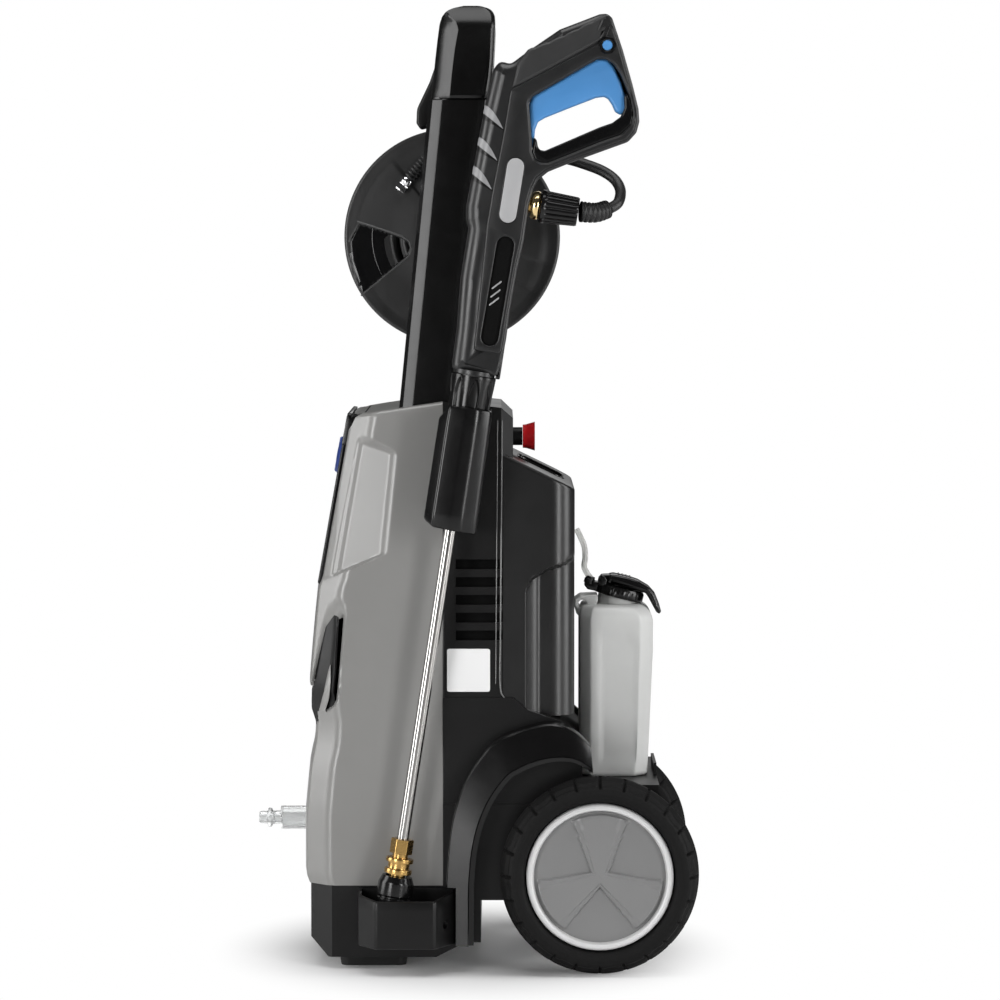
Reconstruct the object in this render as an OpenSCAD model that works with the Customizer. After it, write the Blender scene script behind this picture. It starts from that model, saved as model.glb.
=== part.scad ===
// Upright electric pressure washer with hose reel, docked gun and lance,
// detergent bottle and two wheels. Millimetres, +Z up, front of the machine
// towards -X, origin on the floor under the middle of the machine.

/* [Housing] */
// Width of the housing at its foot
body_w = 250; // [244:1:254]
// Width of the housing at its top
body_top_w = 238; // [230:1:244]
// Thickness of the moulded walls
wall = 3; // [2.4:0.2:3.6]
// Height of the base tray's rim
base_h = 85; // [80:1:90]
// Height of the front cover's top edge at the front
cover_top = 562; // [555:1:570]
// Extra height of the housing's top at the rear
top_rise = 13; // [8:1:16]
// Radius of the front cover's upright corners
corner_r = 26; // [22:1:30]
// Length of the base along the floor, from front edge to wheel leg
base_len = 173; // [168:1:178]

/* [Wheels] */
// Diameter of the tyres
wheel_d = 201; // [196:1:204]
// Width of a tyre
tyre_w = 52; // [46:1:56]
// Distance between the outer faces of the two tyres
track_w = 362; // [360:1:368]
// Diameter of the grey wheel disc
rim_d = 147; // [140:1:152]
// Diameter of the axle
axle_d = 16; // [14:0.5:18]
// Gap between the tyre and the inside of its arch
arch_gap = 18; // [15:1:22]

/* [Handle] */
// Lean of the handle columns, degrees from upright
lean = 5.6; // [5:0.1:6]
// Depth of a column, front to rear
column_d = 60; // [56:1:62]
// Thickness of a column across the machine
column_w = 35; // [33:1:36]
// Distance between the two columns' inner faces
column_gap = 140; // [138:1:144]
// Height of the columns' top, where the handle begins
column_top = 880; // [870:1:890]
// Height of the handle's top
handle_top = 974; // [966:1:980]
// Travel of the telescopic handle
handle_travel = 80; // [60:5:85]

/* [Hose reel] */
// Height of the reel's axle
reel_z = 741; // [738:1:746]
// Diameter of the reel's flanges
reel_d = 220; // [210:1:224]
// Diameter of the reel's drum
drum_d = 64; // [60:1:66]
// Diameter of the reel's axle
reel_axle_d = 20; // [18:0.5:22]
// Outer diameter of the high-pressure hose
hose_d = 11; // [10:0.5:11]
// Length of the crank, axle to knob
crank_len = 78; // [60:1:84]

/* [Gun and lance] */
// Lean of the docked lance, degrees from upright
lance_lean = 8.73; // [8.5:0.05:9]
// Thickness of the gun's grip and web
gun_t = 34; // [30:1:36]
// Diameter of the gun's front ring and lance socket
socket_d = 46; // [42:1:47]
// Diameter of the steel lance tube
lance_d = 12; // [10:0.5:14]
// Travel of the quick coupler's sleeve
sleeve_travel = 4; // [2:0.5:4]
// Travel of the trigger, degrees
trigger_travel = 12; // [8:1:12]

/* [Motor and pump] */
// Diameter of the motor's casing
motor_d = 124; // [116:1:128]
// Diameter of the pump's crankcase
pump_d = 100; // [90:1:104]
// Diameter of the motor shaft
shaft_d = 14; // [12:0.5:16]
// Height of the water inlet
inlet_z = 138; // [134:1:142]

/* [Bottle] */
// Width of the detergent bottle across the machine
bottle_w = 110; // [96:1:116]
// Depth of the detergent bottle, front to rear
bottle_d = 72; // [66:1:74]
// Height of the bottle's shoulder above its tray
bottle_h = 175; // [165:1:177]
// Outer diameter of the bottle's neck
neck_d = 44; // [40:1:46]

/* [Hidden] */
$fn = 64;

// Clearances: running fit on a shaft, seat between fixed pieces, gap to a moving piece
running = 0.06;
seat = 0.3;
gap = 1;

// Colours
grey = [0.55, 0.55, 0.53];
black = [0.10, 0.10, 0.11];
satin_black = [0.16, 0.16, 0.17];
rubber = [0.06, 0.06, 0.06];
blue = [0.18, 0.42, 0.75];
red = [0.75, 0.05, 0.08];
steel = [0.75, 0.76, 0.78];
brass = [0.80, 0.65, 0.35];
alloy = [0.65, 0.66, 0.68];
white = [0.85, 0.87, 0.85];
clear = [0.80, 0.85, 0.88, 0.5];

// Main places
half_w = body_w / 2;
seam_x = -33;
front_x = -176;
wheel_x = 125;
wheel_z = wheel_d / 2;
tyre_out = track_w / 2;
tyre_in = tyre_out - tyre_w;
// Rear walls stand flush with the body, or clear of the tyres where these stand nearer
wheel_side = min(half_w, tyre_in - 4);
leg_x = 5.5;
base_front = leg_x - base_len;
rear_x = 38;
panel_edge_x = 26;
rear_foot = 168;
hump_top = 252;
bottle_x0 = 110;
hump_end = bottle_x0 - 2;
tray_z = 187;
pump_x = -65;
column_out = column_gap / 2 + column_w;
reel_x = -24;

// Half width of the housing at a height
function side_at(z) = half_w - (body_w - body_top_w) / 2 * (z - base_h) / (cover_top + top_rise - base_h);

// Middle of the leaning column at a height
column_foot = 478;
function column_x(z) = -47 + (z - 573) * tan(lean);

// ---------------------------------------------------------------- helpers

module box(x0, x1, y0, y1, z0, z1) translate([x0, y0, z0]) cube([x1 - x0, y1 - y0, z1 - z0]);

module both_sides() {
    children();
    mirror([0, 1, 0]) children();
}

// Outline in X and Z, spread across the machine from y0 to y1
module side_plate(points, y0, y1)
    translate([0, y1, 0]) rotate([90, 0, 0]) linear_extrude(y1 - y0) polygon(points);

// Cylinder across the machine from y0 to y1
module across(x, z, r, y0, y1) translate([x, y0, z]) rotate([-90, 0, 0]) cylinder(h = y1 - y0, r = r);

// Revolved outline, its axis across the machine; points are [radius, y]
module revolve_y(x, z, points)
    translate([x, 0, z]) rotate([-90, 0, 0]) rotate_extrude($fn = 96) polygon(points);

function unit(v) = v / norm(v);
function heading(p, i) = unit(p[min(i + 1, len(p) - 1)] - p[max(i - 1, 0)]);
function carried(n, t) = unit(n - (n * t) * t);
function ring_normals(p, i = 0, done = []) =
    i == len(p) ? done :
    ring_normals(p, i + 1, concat(done, [carried(i == 0 ? [0, 1, 0.3] : done[i - 1], heading(p, i))]));

// Smooth curve through the route's points, with n steps between neighbours
function route_at(p, i, t) =
    let (a = p[max(i - 1, 0)], b = p[i], c = p[i + 1], d = p[min(i + 2, len(p) - 1)])
    0.5 * (2 * b + (c - a) * t + (2 * a - 5 * b + 4 * c - d) * t * t + (3 * b - a - 3 * c + d) * t * t * t);
function smooth(p, n) = concat([for (i = [0:len(p) - 2], k = [0:n - 1]) route_at(p, i, k / n)], [p[len(p) - 1]]);

// Tube swept along a route, as one closed solid; radius runs from r0 to r1
module swept_tube(route, r0, r1, sides) {
    normals = ring_normals(route);
    last = len(route) - 1;
    points = [for (i = [0:last], k = [0:sides - 1])
        let (n = normals[i], b = cross(heading(route, i), n), a = 360 * k / sides, r = r0 + (r1 - r0) * i / last)
        route[i] + r * (cos(a) * n + sin(a) * b)];
    walls = [for (i = [0:last - 1], k = [0:sides - 1])
        [i * sides + k, (i + 1) * sides + k, (i + 1) * sides + (k + 1) % sides, i * sides + (k + 1) % sides]];
    near_end = [for (k = [0:sides - 1]) k];
    far_end = [for (k = [sides - 1:-1:0]) last * sides + k];
    polyhedron(points, concat(walls, [near_end, far_end]), convexity = 6);
}

// ---------------------------------------------------------------- base and wheels

base_floor = 12;
leg_foot = 27;
axle_boss_r = axle_d / 2 + 18;
frame_end = wheel_x + axle_boss_r;

// Side outline of the base, inset by t on every wall
function base_outline(t) = [
    [base_front + t, 30 + t / 2], [base_front + 18 + t / 2, base_floor + t], [-40, base_floor + t],
    [-10 - t, leg_foot + t], [leg_x - t, leg_foot + t], [leg_x - t, 70 + t], [hump_end - t, 70 + t],
    [hump_end - t, rear_foot + t], [seam_x - t, rear_foot + t], [seam_x - t, base_h + t], [base_front + t, base_h + t]
];

module base() color(black) {
    difference() {
        union() {
            intersection() {
                side_plate(base_outline(0), -half_w, half_w);
                linear_extrude(rear_foot + 1) polygon([
                    [base_front, -half_w + 22], [base_front + 22, -half_w], [leg_x - 1, -half_w], [leg_x - 1, -wheel_side],
                    [hump_end, -wheel_side], [hump_end, wheel_side], [leg_x - 1, wheel_side], [leg_x - 1, half_w],
                    [base_front + 22, half_w], [base_front, half_w - 22]
                ]);
            }
            bottle_tray();
        }
        difference() {
            intersection() {
                side_plate(base_outline(wall + 1), -half_w + wall + 1, half_w - wall - 1);
                linear_extrude(rear_foot + 20) polygon([
                    [base_front + 4, -half_w + 25], [base_front + 25, -half_w + 4], [leg_x - 5, -half_w + 4],
                    [leg_x - 5, -wheel_side + 4], [hump_end, -wheel_side + 4], [hump_end, wheel_side - 4],
                    [leg_x - 5, wheel_side - 4], [leg_x - 5, half_w - 4], [base_front + 25, half_w - 4],
                    [base_front + 4, half_w - 25]
                ]);
            }
            pump_pedestal();
        }
        across(wheel_x, wheel_z, axle_d / 2 + running, -tyre_in, tyre_in);
        both_sides() across(-39, 61, 2.2, half_w - wall - 2, half_w + 1);
    }
}

// Round post in the base that carries the pump
module pump_pedestal() {
    translate([pump_x, 0, 0]) difference() {
        cylinder(h = pump_z0, r = 42);
        translate([0, 0, base_floor + 5]) cylinder(h = pump_z0, r = 38);
    }
}

// Shelf and axle carriers behind the base
module bottle_tray() {
    tray_end = bottle_x0 + bottle_d + 4;
    tray_front = hump_end + seat;
    both_sides() side_plate([
        [hump_end - 1, 70], [wheel_x, wheel_z - axle_boss_r], [wheel_x + 18, wheel_z - 20],
        [frame_end, wheel_z + 8], [tray_end, tray_z - 4], [tray_front, tray_z - 4], [tray_front, rear_foot - 1],
        [hump_end - 1, rear_foot - 1]
    ], wheel_side - 12, wheel_side - 4);
    box(tray_front, tray_end, -wheel_side + 4, wheel_side - 4, tray_z - 4, tray_z);
    box(tray_end - 3, tray_end, -bottle_w / 2 + 12, bottle_w / 2 - 12, tray_z - 1, tray_z + 13);
    both_sides() across(wheel_x, wheel_z, axle_boss_r - 6, wheel_side - 20, wheel_side - 1);
}

module feet() color(rubber)
    both_sides() hull() {
        translate([-128, 95, 0]) cylinder(h = 2, r = 9, $fn = 32);
        translate([-80, 95, 0]) cylinder(h = 2, r = 9, $fn = 32);
        translate([-128, 95, base_floor - 1]) cylinder(h = 1, r = 11, $fn = 32);
        translate([-80, 95, base_floor - 1]) cylinder(h = 1, r = 11, $fn = 32);
    }

foot_x0 = -118;
foot_x1 = -20;
foot_out = 53;
foot_floor = 65.6;
arch_r = wheel_d / 2 + arch_gap;
arch_out = 27;

// Outline of the wheel arch, front leg to rear tip
arch_outline = [
    [-30, leg_foot], [-30, 90], [-27, 130], [-22, 161], [-10, 195], [8.6, 223], [21, 235], [36, 242],
    [56, hump_top - 3], [76, hump_top + 1], [98, hump_top - 7], [116, 229], [118, 208], [leg_x, leg_foot]
];

// Wheel arch on the left; its edge leans in towards the tyre
module arch() color(black)
    translate([0, -half_w - seat, 0])
    difference() {
        hull() {
            side_plate(arch_outline, -2, 0);
            side_plate([for (p = arch_outline) [p.x + (wheel_x - p.x) * 0.13, p.y + (wheel_z - p.y) * 0.13]],
                -arch_out, -arch_out + 1);
        }
        across(wheel_x, wheel_z, arch_r, -arch_out - 1, 1);
        across(wheel_x, wheel_z, arch_r + 7, -arch_out + 8, -4);
        box(leg_x, wheel_x + 60, -arch_out - 1, 1, 0, wheel_z);
        box(-60, leg_x + 20, -arch_out - 1, 1, 0, leg_foot);
        box(-60, foot_x1 + seat, -arch_out - 1, 1, 0, 86);
    }

module arch_left() arch();

module arch_right() mirror([0, 1, 0]) arch();

module axle() color(steel) {
    across(wheel_x, wheel_z, axle_d / 2, -tyre_out + 11, tyre_out - 11);
    both_sides() across(wheel_x, wheel_z, axle_d / 2 + 4, tyre_out - 14 + seat, tyre_out - 11);
}

lugs = 22;

// Tyre profile: [radius, distance from the wheel's outer face]
module tyre() color(rubber)
    difference() {
        revolve_y(wheel_x, wheel_z, [
            [rim_d / 2, -tyre_out + 3], [rim_d / 2 + 6, -tyre_out], [wheel_d / 2 - 12, -tyre_out + 1],
            [wheel_d / 2 - 4, -tyre_out + 6], [wheel_d / 2, -tyre_out + 14], [wheel_d / 2, -tyre_in - 12],
            [wheel_d / 2 - 5, -tyre_in - 4], [wheel_d / 2 - 14, -tyre_in], [rim_d / 2 + 2, -tyre_in],
            [rim_d / 2, -tyre_in - 3]
        ]);
        for (i = [0:lugs - 1]) {
            lug_cut(i * 360 / lugs, -tyre_out - 1, 17);
            lug_cut((i + 0.5) * 360 / lugs, -tyre_in - 16, 17);
        }
        difference() {
            across(wheel_x, wheel_z, wheel_d / 2 + 1, -tyre_out + tyre_w / 2 - 1.5, -tyre_out + tyre_w / 2 + 1.5);
            across(wheel_x, wheel_z, wheel_d / 2 - 3, -tyre_out, -tyre_in);
        }
    }

module lug_cut(angle, y0, length)
    translate([wheel_x, 0, wheel_z]) rotate([0, angle, 0])
    box(-2.5, 2.5, y0, y0 + length, wheel_d / 2 - 6, wheel_d / 2 + 2);

module tyre_left() tyre();

module tyre_right() mirror([0, 1, 0]) tyre();

rim_face = -tyre_out + 4;

// Wheel disc with hub, raised outer ring and three shallow valleys
module rim() color(grey)
    difference() {
        revolve_y(wheel_x, wheel_z, [
            [axle_d / 2 + running, rim_face + 11], [axle_d / 2 + running, -tyre_in - 2], [axle_d / 2 + 7, -tyre_in - 2],
            [axle_d / 2 + 9, rim_face + 10], [rim_d / 2 - 9, rim_face + 8], [rim_d / 2 - 6, -tyre_in - 4],
            [rim_d / 2 - 0.2, -tyre_in - 4], [rim_d / 2 - 0.2, rim_face + 1.5], [rim_d / 2 - 3, rim_face],
            [rim_d / 2 - 7, rim_face + 1], [rim_d / 2 - 9, rim_face + 4], [0, rim_face + 3], [0, rim_face + 11]
        ]);
        for (a = [0, 120, 240]) translate([wheel_x, 0, wheel_z]) rotate([0, a, 0])
            side_plate([[0, 15], [33, 54], [0, 62], [-33, 54]], rim_face - 1, rim_face + 5.5);
        across(wheel_x, wheel_z, axle_d / 2 + 5, rim_face + 6, rim_face + 12);
    }

module rim_left() rim();

module rim_right() mirror([0, 1, 0]) rim();

// Faceted cup on the base's left side that takes the lance's nozzle
module lance_foot() color(satin_black)
    translate([0, -half_w - seat, 0])
    difference() {
        linear_extrude(83) polygon(foot_plan(0, 0));
        translate([0, 0, foot_floor]) linear_extrude(80) polygon(foot_plan(wall, 0));
        translate([0, 0, 28]) linear_extrude(foot_floor - wall - 28) polygon(foot_plan(wall, 0));
        box(foot_x0 - 1, foot_x1 + 1, -foot_out - 1, 1, -1, 28);
        translate([0, 1, 84]) rotate([8, 0, 0]) box(foot_x0 - 1, foot_x1 + 1, -foot_out - 20, 40, 0, 40);
        translate([-29, -34, 50]) rotate([-90, 0, 62]) cylinder(h = 24, r = 4, center = true);
    }

function foot_plan(t, y1) = [
    [foot_x0 + t, y1], [foot_x0 + t, -28 - t / 2], [foot_x0 + 18 + t / 2, -foot_out + t],
    [foot_x1 - 20 - t / 2, -foot_out + t], [foot_x1 - t, -16 - t / 2], [foot_x1 - t, y1]
];

// ---------------------------------------------------------------- housing shells

// One level of the front cover: front edge at x, its height at the front and the rear
module cover_level(x, z_front, z_rear, t, extra) {
    r = corner_r - t;
    w = side_at(z_front) - t - extra;
    both_sides() translate([x + t + r, w - r, z_front - 0.4]) cylinder(h = 0.4, r = r, $fn = 32);
    box(seam_x - 1, seam_x, -w, w, z_rear - 0.4, z_rear);
}

front_levels = [[11, 0], [0, 15], [0, 71], [4, 195], [14, 302]];

// The front cover's full form, inset by t
module cover_form(t)
    hull() {
        for (l = front_levels)
            cover_level(front_x + l[0], base_h + l[1] + 0.4, base_h + l[1] + 0.4, t, 0);
        cover_level(front_x + 44, cover_top - 6 - t, cover_top + top_rise - 6 - t, t, 0);
        cover_level(front_x + 48, cover_top - t, cover_top + top_rise - t, t, 5);
    }

panel_lean = 10.1;
panel_mid = [-139.6, 0, 516];
panel_w = 184;
vent_z0 = 249;
vent_z1 = 277;
vent_outline = [[-133.5, 359], [-148, 349], [-168, vent_z1], [-180, vent_z1], [-180, vent_z0 + 2],
    [-160, vent_z0 + 4], [-151, 264], [-141, 273]];
facet_outline = [[-121, 537], [-83, 524], [-93, 422], [-137, 401], [-146, 401], [-131, 500]];

module panel_frame() translate(panel_mid) rotate([0, panel_lean, 0]) children();

module front_cover() color(grey)
    difference() {
        cover_form(0);
        difference() {
            cover_form(wall);
            both_sides() side_plate(
                [for (p = facet_outline) [p.x + (p.x > -110 ? 3 : -3), p.y]], side_at(470) - 6.5, side_at(400));
        }
        box(seam_x - 10, seam_x + 10, -side_at(300) + wall + 1, side_at(300) - wall - 1, base_h, cover_top);
        box(front_x - 5, seam_x + 5, -half_w + wall, half_w - wall, base_h - 5, base_h + wall);
        both_sides() side_plate(facet_outline, side_at(470) - 3.5, side_at(100) + 5);
        panel_frame() box(-20, 12, -panel_w / 2 + 6, panel_w / 2 - 6, -128, 48);
        both_sides() side_plate(vent_outline, half_w - 34, half_w + 5);
        box(front_x - 10, front_x + 14, -half_w, half_w, vent_z0, vent_z1);
        columns_cut();
        across_x(inlet_z, 12 + seat, front_x - 5, front_x + 30);
    }

module across_x(z, r, x0, x1) translate([x0, 0, z]) rotate([0, 90, 0]) cylinder(h = x1 - x0, r = r);

// Room for the columns through the housing's top
module columns_cut()
    both_sides() column_run(column_foot - 60, column_top, column_d / 2 + seat, column_gap / 2 - seat, column_out + seat);

// Black control panel that fills the leaning front, with the dial's hole
module control_panel() color(black)
    difference() {
        panel_frame() {
            box(0, 6, -panel_w / 2 + 6.3, panel_w / 2 - 6.3, -127.7, 47.7);
            box(-1, 0.1, -panel_w / 2, panel_w / 2, -129, 48);
        }
        panel_frame() translate([-20, 0, 0]) rotate([0, 90, 0]) cylinder(h = 60, r = 6 + running);
        panel_frame() translate([-3, 0, 0]) rotate([0, 90, 0]) cylinder(h = 3, r = 29);
    }

// Black liner behind the cover's front slot and corner openings
module intake_grille() color(black)
    difference() {
        intersection() {
            cover_form(wall + 0.4);
            box(front_x, -128, -half_w, half_w, 236, 372);
        }
        cover_form(wall + 3);
        for (i = [0:2]) box(front_x, front_x + 24, -70, 70, 256 + 6 * i, 258.5 + 6 * i);
    }

slot_pitch = 18;
louvre_h = 10;
louvre_top = 416;

// Rear housing plan at a height, inset by t
function rear_plan(z, t) =
    let (w = side_at(z) - t)
    [[seam_x, -w], [panel_edge_x - t / 2, -w], [rear_x - t, -w + 14], [rear_x - t, w - 14], [panel_edge_x - t / 2, w], [seam_x, w]];

module rear_form(t) {
    top = cover_top + top_rise - t;
    intersection() {
        hull() {
            translate([0, 0, rear_foot]) linear_extrude(0.1) polygon(rear_plan(rear_foot, t));
            translate([0, 0, top]) linear_extrude(0.1) polygon(rear_plan(top, t));
        }
        side_plate([[seam_x, rear_foot], [rear_x - t, rear_foot], [rear_x - t, cover_top - 4 - t],
            [panel_edge_x - t, cover_top + 7 - t], [seam_x, top]], -half_w, half_w);
    }
    side_plate(hump_outline(t), -wheel_side + 1 + t, wheel_side - 1 - t);
}

// Side outline of the hump over the wheels, inset by t
function hump_outline(t) = [
    [seam_x, rear_foot], [hump_end - t, rear_foot], [hump_end - t, 230 - t], [86, hump_top - t],
    [54 - t, 263 - t], [rear_x - t, 276], [seam_x, 276]
];

module rear_housing() color(black)
    difference() {
        rear_form(0);
        translate([-1, 0, 0]) rear_form(wall);
        box(seam_x - 5, seam_x + 5, -side_at(rear_foot) + wall, side_at(rear_foot) - wall, rear_foot - 1, cover_top);
        box(seam_x - 5, hump_end - wall, -side_at(rear_foot) + wall, side_at(rear_foot) - wall,
            rear_foot - 1, rear_foot + 2);
        for (i = [0:4]) both_sides()
            box(-20, panel_edge_x + 1, half_w - 20, half_w + 5,
                louvre_top - louvre_h - slot_pitch * i, louvre_top - slot_pitch * i);
        columns_cut();
        across_x(535, stem_r + seat, rear_x - 10, rear_x + 5);
    }

stem_r = 9.4;
bin_w = 210;
bin_end = 101;
bin_foot = 253;
bin_lip = 404;
bin_face = rear_x + seat;

// Upper bin: sloped top with a round-cornered mouth, hollow pocket inside
module storage_bin() color(black)
    difference() {
        union() {
            intersection() {
                linear_extrude(600) bin_plan(bin_w / 2, bin_end);
                side_plate([[bin_face, bin_lip - 30], [bin_face, 519], [bin_end - 4, 487], [bin_end, 482],
                    [bin_end, bin_lip + 12], [72, bin_lip], [54, bin_lip - 20], [50, bin_lip - 31]], -bin_w, bin_w);
            }
            intersection() {
                linear_extrude(600) bin_plan(bin_w / 2 - 16, bin_end - 1);
                side_plate([[bin_face, bin_foot], [bin_end - 4, bin_foot - 3], [bin_end, bin_foot], [bin_end, bin_lip + 30],
                    [bin_face, bin_lip + 30]], -bin_w, bin_w);
            }
        }
        side_plate(hump_outline(-seat - 0.1), -bin_w, bin_w);
        intersection() {
            linear_extrude(600) bin_plan(bin_w / 2 - 4, bin_end - 4);
            side_plate([[bin_face + 4, bin_lip + 18], [bin_face + 4, 513], [bin_end - 8, 481], [bin_end - 5, bin_lip + 18]],
                -bin_w, bin_w);
        }
        hull() both_sides() for (x = [54, 80]) translate([x, 26, 440]) cylinder(h = 120, r = 10, $fn = 32);
        intersection() {
            linear_extrude(600) bin_plan(bin_w / 2 - 19, bin_end - 4);
            side_plate([[bin_face - 1, 280], [54, 268], [86, hump_top + 6], [bin_end, hump_top + 6], [bin_end, bin_lip + 14],
                [bin_face - 1, bin_lip + 14]], -bin_w, bin_w);
        }
    }

module bin_plan(w, x1) {
    r = 18;
    polygon([[bin_face, -w], [x1 - r, -w], [x1 - r, w], [bin_face, w]]);
    polygon([[x1 - r - 1, -w + r], [x1, -w + r], [x1, w - r], [x1 - r - 1, w - r]]);
    for (s = [-1, 1]) translate([x1 - r, s * (w - r)]) circle(r = r, $fn = 40);
}

// ---------------------------------------------------------------- columns and handle

// Leaning bar between two heights, half depth hd, from y0 to y1
module column_run(z0, z1, hd, y0, y1)
    side_plate([[column_x(z0) - hd, z0], [column_x(z0) + hd, z0], [column_x(z1) + hd, z1], [column_x(z1) - hd, z1]], y0, y1);

column_chamfer = 13;
leg_gap = 0.4;
leg_len = 112;
leg_foot_z = column_top - leg_len;

// The bore's corner is cut so that the wall stays full behind the column's chamfer
bore_chamfer = column_chamfer - 5 - 0.58 * wall;

// Wedge that cuts a column's outer front corner, inset by tx and ty
module corner_wedge(tx, ty, leg)
    translate([column_x(column_foot) - column_d / 2 + tx, column_out - ty, column_foot])
    rotate([0, lean, 0]) rotate([0, 0, 45])
    box(-leg * 0.7, leg * 0.7, -leg * 0.7, leg * 0.7, -20, 430);

module column() color(satin_black)
    difference() {
        column_run(column_foot, column_top, column_d / 2, column_gap / 2, column_out);
        difference() {
            column_run(column_foot - 1, column_top + 1, column_d / 2 - wall - 1, column_gap / 2 + wall, column_out - wall - 4);
            corner_wedge(wall + 1, wall + 4, bore_chamfer);
        }
        corner_wedge(0, 0, column_chamfer);
    }

module column_left() difference() {
    mirror([0, 1, 0]) column();
    color(satin_black) across(reel_x, reel_z, reel_axle_d / 2 + running, -column_gap / 2 - wall - 1, -column_gap / 2 + 1);
}

module column_right() difference() {
    column();
    color(satin_black) across(reel_x, reel_z, reel_axle_d / 2 + running, column_gap / 2 - 1, column_out + 1);
}

// Handle: two caps with legs down into the columns, joined by the grip bar
cap_over = 3;
bar_r = 17;
module handle_grip() color(satin_black) {
    grip_x = column_x(handle_top) - 2;
    both_sides() difference() {
        union() {
            side_plate([
                [column_x(column_top) - column_d / 2 - cap_over, column_top + seat],
                [column_x(column_top) + column_d / 2 + cap_over, column_top + seat],
                [grip_x + 29, handle_top - 14], [grip_x + 25, handle_top - 5], [grip_x + 17, handle_top],
                [grip_x - 12, handle_top], [grip_x - 22, handle_top - 4], [grip_x - 28, handle_top - 14]
            ], column_gap / 2 - cap_over, column_out + cap_over);
            difference() {
                column_run(leg_foot_z, column_top + 5, column_d / 2 - wall - 1 - leg_gap,
                    column_gap / 2 + wall + leg_gap, column_out - wall - 4 - leg_gap);
                corner_wedge(wall + 1 + leg_gap, wall + 4 + leg_gap, bore_chamfer);
            }
        }
        translate([column_x(column_top) - column_d / 2 - cap_over, column_out + cap_over, column_top])
            rotate([0, lean - 1.5, 0]) rotate([0, 0, 45])
            box(-column_chamfer * 0.7, column_chamfer * 0.7, -column_chamfer * 0.7, column_chamfer * 0.7, -20, 130);
        column_run(leg_foot_z - 1, column_top + 20, column_d / 2 - 8, column_gap / 2 + 8, column_out - 12);
    }
    hull() for (x = [-6, 6], z = [-4, 4])
        across(grip_x + x, handle_top - 20 + z, bar_r - 8, -column_gap / 2 + cap_over - 1, column_gap / 2 - cap_over + 1, $fn = 32);
    both_sides() across(lever_x, lever_z, 3, 24 + seat, 34);
    both_sides() box(lever_x - 4, lever_x + 16, 24 + seat, 34, lever_z - 4, handle_top - 24);
}

lever_x = -38;
lever_z = 925;

// Release lever under the grip, hanging from two pins
module release_lever() color(black)
    difference() {
        side_plate([
            [lever_x - 6, lever_z + 6], [lever_x + 6, lever_z + 6], [lever_x + 4, 895], [-50, 853],
            [-58, 851], [-61, 858], [-60, 872], [lever_x - 8, 905]
        ], -24, 24);
        both_sides() across(lever_x, lever_z, 3 + running, -34, 34);
        box(-70, lever_x + 10, -18, 18, 864, 908);
    }

// ---------------------------------------------------------------- hose reel

flange_in = 51;
flange_web = 3;
flange_rim = 13;

module reel_axle() color(steel)
    across(reel_x, reel_z, reel_axle_d / 2, -column_gap / 2 - wall - 11, column_out + 16);

module reel_drum() color(black)
    difference() {
        across(reel_x, reel_z, drum_d / 2, -flange_in, flange_in);
        across(reel_x, reel_z, drum_d / 2 - 4, -flange_in + 6, flange_in - 6);
        across(reel_x, reel_z, reel_axle_d / 2 + 0.02, -flange_in - 1, flange_in + 1);
    }

// Dished flange with stiffening ribs, and on the left a wedge window; y is distance outwards
module flange(pocket) color(black) {
    difference() {
        revolve_y(reel_x, reel_z, [
            [reel_axle_d / 2 + running, flange_in], [reel_d / 2, flange_in], [reel_d / 2, flange_in + flange_rim],
            [reel_d / 2 - 3, flange_in + flange_rim], [reel_d / 2 - 6, flange_in + flange_web],
            [reel_axle_d / 2 + 13, flange_in + flange_web], [reel_axle_d / 2 + 11, flange_in + flange_rim + 3],
            [reel_axle_d / 2 + running, flange_in + flange_rim + 3]
        ]);
        if (pocket) translate([reel_x, 0, reel_z])
            side_plate([[-50, 5], [-92, 16], [-96, -4], [-84, -36], [-50, -10]], flange_in - 1, flange_in + flange_web + 1);
    }
    for (a = [35, 80, 125, 260, 305]) translate([reel_x, 0, reel_z]) rotate([0, a, 0])
        box(reel_axle_d / 2 + 12, reel_d / 2 - 5, flange_in + 1, flange_in + 10, -1.2, 1.2);
    if (pocket) translate([reel_x, 0, reel_z])
        side_plate([[-50, 8], [-96, 20], [-96, 17], [-53, 4], [-53, -10], [-86, -38], [-84, -41], [-50, -12]],
            flange_in + 1, flange_in + 11);
}

module reel_flange_left() mirror([0, 1, 0]) flange(true);

module reel_flange_right() flange(false);

coil_r2 = drum_d / 2 + 2 * hose_d;
coil_r3 = drum_d / 2 + 3 * hose_d;
coil_step = -19;

// The wound hose: two full layers and a third that ends short of the left flange
module hose_coil() color(rubber)
    revolve_y(reel_x, reel_z, [
        [drum_d / 2 + 0.1, -flange_in + seat], [coil_r2, -flange_in + seat], [coil_r2, coil_step],
        [coil_r3, coil_step], [coil_r3, flange_in - seat], [drum_d / 2 + 0.1, flange_in - seat]
    ]);

// Chrome elbow and spring guard on the left flange
fitting_y = -flange_in - flange_web - 5.7;
module reel_fitting() color(steel)
    translate([reel_x - reel_d / 2 + 57, fitting_y, reel_z + reel_d / 2 - 62]) rotate([0, 40, 0]) {
        cylinder(h = 9, r = 5.2, $fn = 6);
        translate([0, 0, 9]) cylinder(h = 3, r = 4);
        for (i = [0:6]) translate([0, 0, 11 + 4 * i]) cylinder(h = 2.6, r = 5.2 - 0.25 * i);
        cylinder(h = 40, r = 3.4);
    }

crank_y = column_out + 2;
crank_turn = 90;
module crank_frame() translate([reel_x, 0, reel_z]) rotate([0, crank_turn, 0]) children();

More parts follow.
